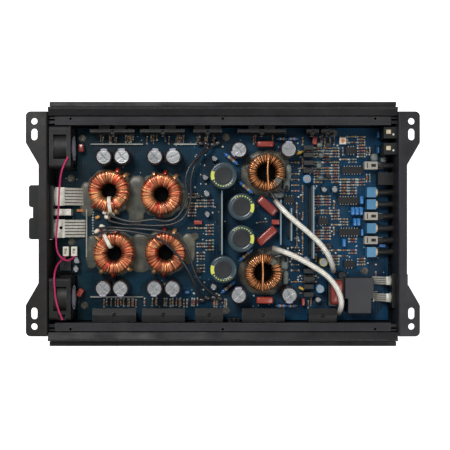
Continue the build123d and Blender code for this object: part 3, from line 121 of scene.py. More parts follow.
# routes of the loose leads: diameter, length, points
FREE_LEADS = {
    "fan_lead_upper": (1.8, 115.2, [
        (-144.0, 62.5, 56.4), (-148.2, 55.0, 56.6), (-151.4, 45.5, 54.6), (-153.2, 32.5, 51.0),
        (-154.2, 18.0, 48.8), (-155.2, 3.5, 47.8), (-156.9, -9.5, 46.6), (-157.4, -20.0, 45.2),
        (-156.0, -28.2, 44.0), (-151.0, -34.0, 42.0), (-145.4, -35.4, 37.6), (-142.6, -31.4, 32.4),
    ]),
    "fan_lead_lower": (1.8, 74.3, [
        (-149.4, -89.3, 55.6), (-152.6, -81.5, 56.8), (-155.4, -71.0, 56.9), (-156.6, -60.0, 56.8),
        (-157.0, -48.4, 56.9), (-156.6, -40.8, 49.8), (-155.2, -36.8, 42.4), (-153.0, -33.6, 36.0),
        (-150.5, -31.3, 30.6),
    ]),
    "power_wire_1": (2.4, 156.1, [
        (-112.4, 10.6, 37.0), (-101.9, 5.7, 40.0), (-88.0, 1.8, 41.6), (-75.8, 2.8, 42.0),
        (-65.4, 4.5, 42.0), (-54.9, 2.2, 42.0), (-45.5, 4.0, 42.0), (-37.5, 13.6, 42.0),
        (-33.2, 27.5, 42.0), (-35.7, 38.0, 42.0), (-34.2, 50.2, 41.6), (-27.0, 60.7, 40.0),
        (-18.4, 68.5, 36.0), (-9.5, 74.5, 29.0),
    ]),
    "power_wire_2": (2.4, 150.0, [
        (-108.9, 3.1, 33.0), (-96.7, -0.7, 35.4), (-79.3, -0.9, 37.0), (-61.5, -1.9, 37.6),
        (-46.3, -0.4, 37.6), (-35.8, 6.4, 37.6), (-30.0, 24.0, 37.6), (-31.2, 41.0, 37.6),
        (-27.5, 54.6, 37.0), (-21.6, 66.0, 34.0), (-16.5, 76.0, 29.0),
    ]),
    "power_wire_3": (2.4, 141.1, [
        (-121.1, -10.9, 44.0), (-111.5, -6.4, 46.6), (-97.5, -5.6, 47.2), (-81.0, -8.0, 47.4),
        (-65.4, -11.2, 47.6), (-53.1, -18.4, 47.6), (-42.8, -29.1, 47.4), (-34.0, -41.4, 44.6),
        (-28.0, -54.5, 38.6), (-24.4, -65.5, 32.0), (-19.0, -73.0, 26.6),
    ]),
    "power_wire_4": (2.4, 153.9, [
        (-118.0, -4.2, 40.0), (-107.5, -2.9, 42.6), (-93.5, -4.0, 44.0), (-78.0, -4.6, 46.6),
        (-62.5, -5.9, 47.8), (-48.0, -8.6, 47.8), (-37.2, -17.4, 47.0), (-31.4, -30.0, 44.6),
        (-28.0, -43.5, 41.6), (-21.9, -56.0, 37.6), (-13.1, -65.0, 32.0), (-3.0, -71.6, 27.0),
    ]),
    "output_cable_1": (5.0, 98.0, [
        (49.1, 22.4, 43.0), (57.0, 12.6, 46.4), (67.5, 2.8, 47.6), (79.0, -6.8, 48.0),
        (90.5, -17.0, 47.6), (99.4, -28.4, 44.4), (104.6, -39.6, 37.0), (106.6, -45.6, 27.5),
    ]),
    "output_cable_2": (5.0, 108.4, [
        (46.4, -22.6, 46.6), (56.8, -25.6, 47.4), (70.2, -31.6, 47.4), (84.0, -39.2, 47.2),
        (97.4, -47.8, 47.4), (106.6, -58.4, 48.0), (111.6, -70.6, 48.2), (111.9, -80.9, 43.4),
        (110.4, -86.2, 31.0),
    ]),
}

# ---------------------------------------------------------------- shapes


def grid_faces(rows, columns, close_rows=False, close_columns=False):
    """Four-sided faces of a grid of points numbered row by row.
    A closed way joins its last line to its first."""
    row, column = np.meshgrid(np.arange(rows if close_rows else rows - 1),
                              np.arange(columns if close_columns else columns - 1), indexing="ij")
    row, column = row.ravel(), column.ravel()
    next_row, next_column = (row + 1) % rows, (column + 1) % columns
    return np.stack([row * columns + column, row * columns + next_column,
                     next_row * columns + next_column, next_row * columns + column], axis=1)


def ring(radius, count):
    """Points of a circle, (radius cos a, radius sin a), at even angles."""
    angle = np.linspace(0.0, 2 * math.pi, count, endpoint=False)
    return radius * np.stack([np.cos(angle), np.sin(angle)], axis=1)


def lathe(profile, steps=32, closed=False):
    """A (radius, height) profile turned about Z: x = r cos a, y = r sin a, z = h."""
    radius, height = np.asarray(profile, float).T[:, :, None]
    circle = ring(1.0, steps)
    points = np.stack([radius * circle[:, 0], radius * circle[:, 1], height + 0 * circle[:, 0]], axis=2)
    return points.reshape(-1, 3), grid_faces(len(profile), steps, closed, True)


def carry(paths, section, reference, closed=False):
    """A section carried along each path: p = path + side * s + up * u, where side is the cross product
    of the path's direction with the reference, and up the cross product of side with the direction."""
    paths = np.asarray(paths, float)
    paths = paths[None] if paths.ndim == 2 else paths
    if closed:
        along = np.roll(paths, -1, 1) - np.roll(paths, 1, 1)
    else:
        along = np.gradient(paths, axis=1)
    along /= np.linalg.norm(along, axis=2, keepdims=True)
    side = np.cross(along, reference)
    side /= np.linalg.norm(side, axis=2, keepdims=True)
    up = np.cross(side, along)
    section = np.asarray(section, float)
    section = section[None, None] if section.ndim == 2 else section
    points = (paths[:, :, None] + side[:, :, None] * section[..., 0:1] + up[:, :, None] * section[..., 1:2])
    if not closed:
        pole = np.ones_like(points[:, :1])
        points = np.concatenate([pole * paths[:, :1, None], points, pole * paths[:, -1:, None]], axis=1)
    tubes, rows, columns = points.shape[:3]
    faces = grid_faces(rows, columns, closed, True)[None] + np.arange(tubes)[:, None, None] * rows * columns
    return points.reshape(-1, 3), faces.reshape(-1, 4)


def block(size, radius=0.3):
    """A box with rounded edges: p = corner * (half - radius) + radius * n for the directions n of a coarse
    ball, with corner the signs of n, and a middle point closing the top and the bottom."""
    turn, rise = np.meshgrid((np.arange(8) + 0.5) * math.pi / 4, np.radians([-90, -66, -20, 20, 66, 90]))
    n = np.stack([np.cos(rise) * np.cos(turn), np.cos(rise) * np.sin(turn), np.sin(rise)], axis=2)
    half = np.asarray(size, float) / 2
    points = np.sign(n) * (half - radius) + radius * n
    points[[0, -1], :, :2] = 0.0
    points[[0, -1], :, 2] = [[-half[2]], [half[2]]]
    return points.reshape(-1, 3), grid_faces(6, 8, False, True)


def pillow(size, power=0.36, rows=14, columns=28):
    """A swollen box: p = half * sign(n) * |n| ** power for the directions n of a ball."""
    turn, rise = np.meshgrid(np.linspace(0, 2 * math.pi, columns, endpoint=False),
                             np.linspace(-math.pi / 2, math.pi / 2, rows))
    n = np.stack([np.cos(rise) * np.cos(turn), np.cos(rise) * np.sin(turn), np.sin(rise)], axis=2)
    n[[0, -1], :, :2] = 0.0
    points = np.asarray(size, float) / 2 * np.sign(n) * np.abs(n) ** power
    return points.reshape(-1, 3), grid_faces(rows, columns, False, True)


def copies(shape, places, turns=0.0, sizes=1.0):
    """One shape set down at every place, first stretched by its size, then turned about Z by its turn
    in degrees."""
    points, faces = shape
    places = np.atleast_2d(np.asarray(places, float))
    count = len(places)
    sizes = np.asarray(sizes, float)
    sizes = np.broadcast_to(sizes if sizes.ndim == 2 else sizes * np.ones((count, 3)), (count, 3))
    angle = np.radians(np.broadcast_to(turns, count))[:, None]
    local = points[None] * sizes[:, None]
    x = local[..., 0] * np.cos(angle) - local[..., 1] * np.sin(angle)
    y = local[..., 0] * np.sin(angle) + local[..., 1] * np.cos(angle)
    placed = np.stack([x, y, local[..., 2]], axis=2) + places[:, None]
    numbered = faces[None] + np.arange(count)[:, None, None] * len(points)
    return placed.reshape(-1, 3), numbered.reshape(-1, 4)


def join(*shapes):
    """Several shapes as one."""
    starts = np.cumsum([0] + [len(points) for points, _ in shapes[:-1]])
    return (np.concatenate([points for points, _ in shapes]),
            np.concatenate([faces + start for (_, faces), start in zip(shapes, starts)]))


def along_x(shape):
    """A shape made about Z, laid with its Z along X."""
    points, faces = shape
    return points[:, [2, 0, 1]], faces


def moved(shape, x, y):
    """A shape moved along X and Y."""
    points, faces = shape
    return points + (x, y, 0), faces


def one_tint(shape, code):
    """The same colour for every point of a shape."""
    return np.tile(colour(code)[:3], (len(shape[0]), 1))


def piece(name, shape, material, stands_for=(), body=BODY, values=None, tints=None, sharp=40.0):
    """A finished piece from a shape: doubles merged, faces turned outward, smooth up to a sharp angle.
    values are one number per point and tints one colour per point, each under its attribute's name."""
    points, faces = shape
    mesh = bpy.data.meshes.new(name)
    mesh.from_pydata((points * MM).tolist(), [], faces.tolist())
    for key, numbers in (values or {}).items():
        layer = mesh.attributes.new(key, "FLOAT", "POINT")
        layer.data.foreach_set("value", np.asarray(numbers, np.float32).ravel())
    for key, colours in (tints or {}).items():
        rgba = np.concatenate([np.asarray(colours, float), np.ones((len(points), 1))], axis=1)
        layer = mesh.attributes.new(key, "FLOAT_COLOR", "POINT")
        layer.data.foreach_set("color", rgba.astype(np.float32).ravel())
    shell = bmesh.new()
    shell.from_mesh(mesh)
    bmesh.ops.remove_doubles(shell, verts=shell.verts, dist=2e-6)
    bmesh.ops.recalc_face_normals(shell, faces=shell.faces)
    shell.to_mesh(mesh)
    shell.free()
    mesh.polygons.foreach_set("use_smooth", np.ones(len(mesh.polygons), bool))
    mesh.set_sharp_from_angle(angle=math.radians(sharp))
    mesh.materials.append(material)
    made = bpy.data.objects.new(name, mesh)
    bpy.context.scene.collection.objects.link(made)
    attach(made, body)
    if stands_for:
        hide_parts(*stands_for)
    return made


# ---------------------------------------------------------------- shader nodes


def colour(code):
    """The linear colour of a six-digit code."""
    parts = np.array([int(code[i:i + 2], 16) for i in (1, 3, 5)]) / 255.0
    linear = np.where(parts <= 0.04045, parts / 12.92, ((parts + 0.055) / 1.055) ** 2.4)
    return (*linear.tolist(), 1.0)


def add(tree, kind, inputs=None, **properties):
    """A shader node with its properties set. Each input is a plain value or another node's output."""
    made = tree.nodes.new("ShaderNode" + kind)
    for key, value in properties.items():
        setattr(made, key, value)
    for key, value in (inputs or {}).items():
        if isinstance(value, bpy.types.NodeSocket):
            tree.links.new(value, made.inputs[key])
        else:
            made.inputs[key].default_value = value
    return made


def mix(tree, factor, first, second, blend="MIX"):
    """first turned into second by factor."""
    return add(tree, "Mix", {0: factor, 6: first, 7: second}, data_type="RGBA", blend_type=blend).outputs[2]


def compute(tree, operation, first, second=0.5, third=0.5):
    """One operation of a Math node."""
    return add(tree, "Math", {0: first, 1: second, 2: third}, operation=operation).outputs[0]


def fit(tree, value, low, high, to_low=0.0, to_high=1.0):
    """value fitted from one range to another and held inside it."""
    return add(tree, "MapRange", {0: value, 1: low, 2: high, 3: to_low, 4: to_high}).outputs[0]


def noise(tree, vector, scale, detail=2.0):
    """A noise value over the surface."""
    return add(tree, "TexNoise", {"Vector": vector, "Scale": scale, "Detail": detail}).outputs[0]


def new_group(name, inputs, outputs):
    """An empty node group with named sockets, each given as (name, kind, default)."""
    group = bpy.data.node_groups.new(name, "ShaderNodeTree")
    for way, sockets in (("INPUT", inputs), ("OUTPUT", outputs)):
        for label, kind, default in sockets:
            socket = group.interface.new_socket(label, in_out=way, socket_type="NodeSocket" + kind)
            if default is not None:
                socket.default_value = default
    return group, group.nodes.new("NodeGroupInput").outputs, group.nodes.new("NodeGroupOutput").inputs


def worked_surface_group():
    """Colour varied by broad patches, and roughness and height by a fine grain stretched along the piece."""
    group, given, out = new_group("worked_surface", [
        ("Colour", "Color", (0.5, 0.5, 0.5, 1)), ("Patch Colour", "Color", (0.4, 0.4, 0.4, 1)),
        ("Patch Scale", "Float", 60.0), ("Grain Scale", "Float", 1500.0), ("Stretch", "Vector", (1, 1, 1)),
        ("Roughness", "Float", 0.5), ("Spread", "Float", 0.1)],
        [("Colour", "Color", None), ("Roughness", "Float", None), ("Height", "Float", None)])
    place = add(group, "TexCoord").outputs["Object"]
    spot = add(group, "VectorMath", {0: place, 1: given["Stretch"]}, operation="MULTIPLY").outputs[0]
    patches = fit(group, noise(group, place, given["Patch Scale"], 3.0), 0.35, 0.68)
    grain = noise(group, spot, given["Grain Scale"], 2.0)
    speck = fit(group, grain, 0.25, 0.75, 0.86, 1.14)
    toned = mix(group, patches, given["Colour"], given["Patch Colour"])
    out_colour = add(group, "VectorMath", {0: toned, 1: speck}, operation="MULTIPLY")
    group.links.new(out_colour.outputs[0], out["Colour"])
    swing = compute(group, "MULTIPLY", compute(group, "SUBTRACT", grain, 0.5), given["Spread"])
    broad = compute(group, "MULTIPLY", compute(group, "SUBTRACT", patches, 0.5), given["Spread"])
    rough = compute(group, "ADD", compute(group, "MULTIPLY_ADD", swing, 2.0, given["Roughness"]), broad)
    group.links.new(compute(group, "MINIMUM", compute(group, "MAXIMUM", rough, 0.05), 1.0), out["Roughness"])
    group.links.new(grain, out["Height"])
    return group


def edge_wear_group():
    """A mask of worn edges: where the rounded normal leaves the face's own, broken up by noise."""
    group, given, out = new_group("edge_wear", [("Width", "Float", 0.0008), ("Amount", "Float", 0.5)],
                                  [("Mask", "Float", None)])
    rounded = add(group, "Bevel", {"Radius": given["Width"]}, samples=4).outputs[0]
    flat = add(group, "NewGeometry").outputs["True Normal"]
    meeting = add(group, "VectorMath", {0: rounded, 1: flat}, operation="DOT_PRODUCT").outputs["Value"]
    edge = fit(group, meeting, 0.99, 0.80)
    broken = fit(group, noise(group, add(group, "TexCoord").outputs["Object"], 420.0, 3.0), 0.38, 0.62)
    mask = compute(group, "MULTIPLY", compute(group, "MULTIPLY", edge, broken), given["Amount"])
    group.links.new(mask, out["Mask"])
    return group


def dust_group():
    """A mask of settled dust: on faces that look up, in drifts."""
    group, given, out = new_group("settled_dust", [("Amount", "Float", 0.3)], [("Mask", "Float", None)])
    normal = add(group, "SeparateXYZ", {0: add(group, "NewGeometry").outputs["Normal"]}).outputs["Z"]
    place = add(group, "TexCoord").outputs["Object"]
    drift = compute(group, "MULTIPLY", fit(group, noise(group, place, 45.0, 4.0), 0.4, 0.75),
                    fit(group, noise(group, place, 900.0, 2.0), 0.3, 0.7, 0.4, 1.0))
    settled = compute(group, "MULTIPLY", fit(group, normal, 0.5, 1.0), drift)
    mask = compute(group, "MULTIPLY", settled, given["Amount"])
    group.links.new(mask, out["Mask"])
    return group


def strand_lay_group():
    """Height and tone of strands laid side by side, from the piece's own strand attribute."""
    group, given, out = new_group("strand_lay", [("Dark", "Float", 0.6)],
                                  [("Tone", "Float", None), ("Height", "Float", None)])
    strand = add(group, "Attribute", attribute_name="strand").outputs["Fac"]
    place = add(group, "TexCoord").outputs["Object"]
    tone = compute(group, "MULTIPLY", fit(group, strand, 0.0, 1.0, given["Dark"], 1.0),
                   fit(group, noise(group, place, 300.0, 2.0), 0.3, 0.7, 0.82, 1.1))
    group.links.new(tone, out["Tone"])
    group.links.new(noise(group, place, 2600.0, 1.0), out["Height"])
    return group


WORKED = worked_surface_group()
WEAR = edge_wear_group()
DUST = dust_group()
STRANDS = strand_lay_group()


def start_material(name, metallic=0.0, coat=0.0, specular=0.25, subsurface=0.0):
    """A new material with its Principled BSDF."""
    material = bpy.data.materials.new(name)
    material.use_nodes = True
    tree = material.node_tree
    shader = tree.nodes["Principled BSDF"]
    shader.inputs["Metallic"].default_value = metallic
    shader.inputs["Coat Weight"].default_value = coat
    shader.inputs["Coat Roughness"].default_value = 0.12
    shader.inputs["Specular IOR Level"].default_value = specular
    shader.inputs["Subsurface Weight"].default_value = subsurface
    shader.inputs["Subsurface Scale"].default_value = 0.002
    return material, tree, shader


def surface(tree, main, patch, roughness, spread=0.1, patches=60.0, grain=1500.0, stretch=(1, 1, 1)):
    """The worked surface's node in a material."""
    made = add(tree, "Group", node_tree=WORKED)
    for key, value in (("Colour", main), ("Patch Colour", patch)):
        if isinstance(value, bpy.types.NodeSocket):
            tree.links.new(value, made.inputs[key])
        else:
            made.inputs[key].default_value = colour(value)
    for key, value in (("Roughness", roughness), ("Spread", spread), ("Patch Scale", patches),
                       ("Grain Scale", grain), ("Stretch", stretch)):
        made.inputs[key].default_value = value
    return made.outputs


def wire_up(tree, shader, tone, roughness, height, relief):
    """Colour, roughness and a bump of the given relief in metres go into the shader."""
    tree.links.new(tone, shader.inputs["Base Color"])
    tree.links.new(roughness, shader.inputs["Roughness"])
    bump = add(tree, "Bump", {"Height": height, "Distance": relief, "Strength": 1.0})
    tree.links.new(bump.outputs[0], shader.inputs["Normal"])


def finish(name, main, patch=None, roughness=0.5, spread=0.12, metallic=0.0, coat=0.0, specular=0.25,
           patches=60.0, grain=1500.0, stretch=(1, 1, 1), relief=0.00003, wear=0.0, wear_width=0.0006,
           worn="#a8a8a6", dust=0.0, tint=None, subsurface=0.0):
    """A material of one finish: patches, grain, worn edges and dust over a colour or the piece's own tint."""
    material, tree, shader = start_material(name, metallic, coat, specular, subsurface)
    if tint:
        main = add(tree, "Attribute", attribute_name=tint).outputs["Color"]
        patch = mix(tree, 1.0, main, (0.8, 0.8, 0.8, 1), "MULTIPLY")
    made = surface(tree, main, patch or main, roughness, spread, patches, grain, stretch)
    tone, rough = made["Colour"], made["Roughness"]
    if wear:
        mask = add(tree, "Group", {"Amount": wear, "Width": wear_width}, node_tree=WEAR).outputs[0]
        tone = mix(tree, mask, tone, colour(worn))
    if dust:
        mask = add(tree, "Group", {"Amount": dust}, node_tree=DUST).outputs[0]
        tone = mix(tree, mask, tone, colour(DUST_GREY))
        rough = compute(tree, "ADD", rough, compute(tree, "MULTIPLY", mask, 0.4))
    wire_up(tree, shader, tone, rough, made["Height"], relief)
    return material


# ---------------------------------------------------------------- finishes


def black_anodising():
    """Black anodised extrusion with drawing lines along X, the blasted ledge that the cover lies on, and a
    painted highlight along the top outer edge of the walls.
    """
    material, tree, shader = start_material("black_anodising", metallic=0.1)
    made = surface(tree, "#19191b", "#131315", 0.5, 0.2, 40.0, 1700.0, (0.02, 1.0, 1.0))
    place = add(tree, "SeparateXYZ", {0: add(tree, "TexCoord").outputs["Object"]}).outputs
    across = compute(tree, "ABSOLUTE", place["Y"])
    ledge = compute(tree, "MULTIPLY", fit(tree, across, 0.0915, 0.0925), fit(tree, across, 0.1006, 0.0998))
    ledge = compute(tree, "MULTIPLY", ledge, fit(tree, place["Z"], 0.0540, 0.0552))
    # painted highlight: a lighter line along the walls' top outer edge, where light catches it
    painted_edge_highlight = compute(tree, "MULTIPLY", fit(tree, across, 0.1068, 0.1074),
                       fit(tree, place["Z"], 0.0555, 0.0565))
    tone = mix(tree, ledge, made["Colour"], colour("#29292c"))
    tone = mix(tree, compute(tree, "MULTIPLY", painted_edge_highlight, 0.5), tone, colour("#38383b"))
    mask = add(tree, "Group", {"Amount": 0.35, "Width": 0.0005}, node_tree=WEAR).outputs[0]
    tone = mix(tree, mask, tone, colour("#8c8c8e"))
    dust = add(tree, "Group", {"Amount": 0.04}, node_tree=DUST).outputs[0]
    tone = mix(tree, dust, tone, colour(DUST_GREY))
    rough = compute(tree, "ADD", made["Roughness"], compute(tree, "MULTIPLY", ledge, 0.2))
    wire_up(tree, shader, tone, rough, made["Height"], 0.00003)
    return material


def solder_mask():
    """Blue solder mask over copper: pours and tracks show through it, with tinned vias in places."""
    material, tree, shader = start_material("blue_solder_mask", specular=0.08)
    place = add(tree, "TexCoord").outputs["Object"]
    part = add(tree, "SeparateXYZ", {0: place}).outputs
    turned = add(tree, "CombineXYZ", {0: part["Y"], 1: part["X"], 2: part["Z"]}).outputs[0]
    base = mix(tree, fit(tree, part["X"], -0.15, 0.13), colour("#041f28"), colour("#08304a"))
    cells = add(tree, "TexVoronoi", {"Vector": place, "Scale": 62.0, "Randomness": 0.85},
                distance="CHEBYCHEV")
    choice = add(tree, "SeparateColor", {0: cells.outputs["Color"]}).outputs
    bricks = [
        add(tree, "TexBrick", {"Vector": vector, "Scale": 1.0, "Mortar Size": 0.00034, "Mortar Smooth": 0.3,
                               "Brick Width": width, "Row Height": height}).outputs["Fac"]
        for vector, width, height in ((place, 0.021, 0.0024), (turned, 0.017, 0.0031))]
    pick = compute(tree, "GREATER_THAN", choice[1], 0.5)
    lines = compute(tree, "ADD", compute(tree, "MULTIPLY", bricks[0], pick),
                    compute(tree, "MULTIPLY", bricks[1], compute(tree, "SUBTRACT", 1.0, pick)))
    tracks = compute(tree, "MULTIPLY", lines, compute(tree, "GREATER_THAN", choice[2], 0.35))
    pours = fit(tree, choice[0], 0.0, 1.0, 0.55, 1.45)
    shaded = add(tree, "VectorMath", {0: base, 1: pours}, operation="MULTIPLY").outputs[0]
    light = add(tree, "VectorMath", {0: base, 1: (2.3, 2.0, 1.7)}, operation="MULTIPLY").outputs[0]
    tone = mix(tree, compute(tree, "MULTIPLY", tracks, 0.6), shaded, light)
    dots = add(tree, "TexVoronoi", {"Vector": place, "Scale": 210.0, "Randomness": 0.75}).outputs["Distance"]
    vias = compute(tree, "MULTIPLY", fit(tree, dots, 0.13, 0.09),
                   compute(tree, "GREATER_THAN", noise(tree, place, 90.0), 0.53))
    tone = mix(tree, vias, tone, colour("#a3acae"))
    dust = add(tree, "Group", {"Amount": 0.05}, node_tree=DUST).outputs[0]
    tone = mix(tree, dust, tone, colour(DUST_GREY))
    grain = surface(tree, tone, tone, 0.42, 0.2, 120.0, 2200.0)
    relief = compute(tree, "ADD", compute(tree, "MULTIPLY", grain["Height"], 0.1), lines)
    wire_up(tree, shader, grain["Colour"], grain["Roughness"], relief, 0.00004)
    return material


def enamelled_wire(name, first, second):
    """Enamelled copper between two colours by the piece's kind attribute, each turn in its own tone."""
    material, tree, shader = start_material(name, metallic=0.75, coat=0.35)
    lay = add(tree, "Group", {"Dark": 0.3}, node_tree=STRANDS).outputs
    kind = add(tree, "Attribute", attribute_name="kind").outputs["Fac"]
    tone = mix(tree, kind, colour(first), colour(second))
    tone = add(tree, "VectorMath", {0: tone, 1: lay["Tone"]}, operation="MULTIPLY").outputs[0]
    rough = fit(tree, lay["Tone"], 0.5, 1.1, 0.42, 0.24)
    wire_up(tree, shader, tone, rough, lay["Height"], 0.00002)
    return material


def striped_sleeve(name, main, patch, stripe):
    """Shrunk plastic sleeve with a printed stripe where the piece's stripe attribute says."""
    material, tree, shader = start_material(name, coat=0.4)
    made = surface(tree, main, patch, 0.34, 0.15, 160.0, 1200.0)
    mask = add(tree, "Attribute", attribute_name="stripe").outputs["Fac"]
    tone = mix(tree, mask, made["Colour"], colour(stripe))
    wire_up(tree, shader, tone, made["Roughness"], made["Height"], 0.00003)
    return material


BLACK_ANODISING = black_anodising()
SOLDER_MASK = solder_mask()
LEFT_PAINT = finish("left_plate_paint", "#181616", "#201e1d", 0.5, 0.2, grain=900.0, relief=0.00008,
                    wear=0.4, wear_width=0.0005, worn="#6f6c6a", dust=0.04)
RIGHT_PAINT = finish("right_plate_paint", "#1d1d21", "#25252a", 0.46, 0.2, grain=900.0, relief=0.00008,
                     wear=0.4, wear_width=0.0005, worn="#77777c", dust=0.04)
BLACK_SCREW = finish("black_oxide_screw", "#1c1c1d", "#262627", 0.38, metallic=0.7, wear=0.5)
BRIGHT_SCREW = finish("dull_zinc_screw", "#4f4c45", "#3a3833", 0.38, metallic=0.9, wear=0.3, worn="#c9c6ba",
                      relief=0.00001)
DULL_BAR = finish("dull_supply_bar", "#8d8f8b", "#74756f", 0.5, 0.2, metallic=0.5, relief=0.00001)
BRASS = finish("turned_brass", "#b08d43", "#8f7436", 0.32, metallic=0.95)
BAR_PAINT = finish("bar_paint", "#0e0e0f", "#141415", 0.42, grain=800.0, relief=0.00007, wear=0.55,
                   wear_width=0.0005, worn="#8b8b8d", dust=0.03)
MOULDED_BLACK = finish("moulded_black", "#101012", "#171719", 0.48, 0.2, wear=0.35, worn="#5d5d62",
                       dust=0.05)
TERMINAL_BLACK = finish("terminal_black", "#101012", "#171719", 0.42, 0.2, wear=0.4, worn="#5b5b60",
                        dust=0.04)
FAN_BLACK = finish("fan_plastic", "#0b0b0c", "#121213", 0.5, 0.2, wear=0.45, worn="#6a6a6d", dust=0.08)
TINNED = finish("tinned_metal", "#c9c7bd", "#aeaba0", 0.42, 0.2, metallic=0.45, patches=140.0, grain=600.0,
                relief=0.00001, wear=0.4, worn="#efeee8")
COPPER_WIRE = enamelled_wire("transformer_wire", "#ffc286", "#d64c3c")
COIL_WIRE = enamelled_wire("coil_wire", "#dd9660", "#cf7f4a")
CORE_PAINT = finish("core_paint", "#6a6c66", "#565850", 0.6)
# near-black without gloss, for the painted shade in the wound parts' holes
HOLE_SHADE_BLACK = finish("painted_hole_shade", "#070708", "#0a0a0b", 0.7, specular=0.04, grain=900.0, relief=0.00002)
ADHESIVE = finish("set_adhesive", "#5d5a4c", "#343b38", 0.4, 0.2, coat=0.1, patches=110.0, grain=500.0,
                  relief=0.00015)
PALE_ADHESIVE = finish("pale_adhesive", "#757d79", "#4f5856", 0.4, 0.2, coat=0.1, patches=150.0, grain=500.0,
                       relief=0.0002)
NYLON = finish("white_nylon", "#dcd9cd", "#c9c5b6", 0.4, 0.1, subsurface=0.3, patches=200.0)
CAN_ALUMINIUM = finish("can_aluminium", "#929495", "#77797a", 0.42, 0.12, metallic=0.5, grain=1600.0,
                       relief=0.000004, wear=0.3, worn="#f0f0f0")
BUNG_RUBBER = finish("capacitor_disc", "#1c1e20", "#242628", 0.5, 0.1, patches=200.0)
MAIN_SLEEVE = finish("slate_sleeve", "#2f4047", "#29393f", 0.32, 0.12, coat=0.3, patches=150.0, wear=0.5,
                     wear_width=0.001, worn="#6b8088")
FILTER_SLEEVE = striped_sleeve("brown_striped_sleeve", "#20171b", "#2a2025", "#a9a6b8")
MARK_INK = finish("yellow_mark", "#c9cc5a", "#bcc04e", 0.45)
TINTED_GLOSS = finish("dipped_and_sleeved", "", roughness=0.26, spread=0.14, coat=0.6, patches=240.0,
                      grain=900.0, relief=0.00005, tint="tint")
TINTED_PART = finish("small_part_bodies", "", roughness=0.42, spread=0.2, coat=0.15, patches=300.0,
                     grain=900.0, relief=0.00004, dust=0.1, tint="tint")
RELAY_PLASTIC = finish("relay_cover", "#2b2c30", "#323338", 0.4, 0.15, wear=0.4, worn="#7e7f85", dust=0.05)
LAMINATE = finish("module_laminate", "#8397a0", "#6f858f", 0.45, wear=0.6, wear_width=0.0005, worn="#b9c4c8")
POT_BLUE = finish("pot_blue", "#4a86ad", "#3d7499", 0.36, 0.15, coat=0.2, wear=0.4, worn="#a9cfe4", dust=0.1)
POT_CREAM = finish("pot_collar", "#d7cdb6", "#c8bda4", 0.42, 0.1)
SWITCH_GREY = finish("switch_grey", "#a8a49a", "#96928a", 0.44, 0.15, wear=0.3, worn="#dcd6ca", dust=0.1)
KNOB_BLACK = finish("knob_black", "#1d1c1d", "#29272a", 0.4, 0.2, wear=0.4, worn="#5f5f63")
LEAD_RED = finish("red_lead", "#b62d5c", "#a22550", 0.34, 0.1, coat=0.15, patches=220.0)
WIRE_BLACK = finish("black_wire", "#252527", "#2d2d30", 0.34, 0.12, coat=0.35, patches=220.0)
LABEL_PAPER = finish("hub_label", "#c4c6d8", "#b4b6ca", 0.45, 0.1, coat=0.2)

DRESSED = [
    (BLACK_ANODISING, ["heatsink"]), (LEFT_PAINT, ["left_end_plate"]), (RIGHT_PAINT, ["right_end_plate"]),
    (BLACK_SCREW, ["end_plate_screws", "clamp_bar_screws", "fan_screws"]),
    (SOLDER_MASK, ["circuit_board"]), (BRASS, ["board_standoffs"]), (DULL_BAR, ["bus_bars"]),
    (BRIGHT_SCREW, ["board_screws", "terminal_screws"]), (BAR_PAINT, ["clamp_bars"]),
    (MOULDED_BLACK, ["power_transistors", "relay_base", "chips", "board_headers", "phono_jack_bodies",
                     "remote_level_socket"]),
    (TINNED, ["transistor_leads", "power_terminal_lugs", "speaker_terminal_lugs", "phono_jack_shells"]),
    (TERMINAL_BLACK, ["power_terminal_block", "speaker_terminal_block"]),
    (FAN_BLACK, ["fan_frame_upper", "fan_frame_lower", "fan_rotor_upper", "fan_rotor_lower"]),
    (COIL_WIRE, ["fan_stators"]), (NYLON, ["fan_plugs", "cable_ties"]), (CORE_PAINT, ["toroid_cores"]),
    (CAN_ALUMINIUM, ["main_capacitor_cans"]), (RELAY_PLASTIC, ["relay_cover"]),
    (LAMINATE, ["module_boards"]), (POT_BLUE, ["pot_bodies"]), (SWITCH_GREY, ["switch_bodies"]),
    (KNOB_BLACK, [f"pot_shaft_{number}" for number in (1, 2, 3, 4)]),
    (KNOB_BLACK, [f"switch_plunger_{number}" for number in (1, 2, 3)]),
]
for finished, names in DRESSED:
    for node_name in names:
        nodes[node_name].data.materials.clear()
        nodes[node_name].data.materials.append(finished)

# ---------------------------------------------------------------- wound parts


LOOP_POINTS = 30
WIRE_SIDES = 7


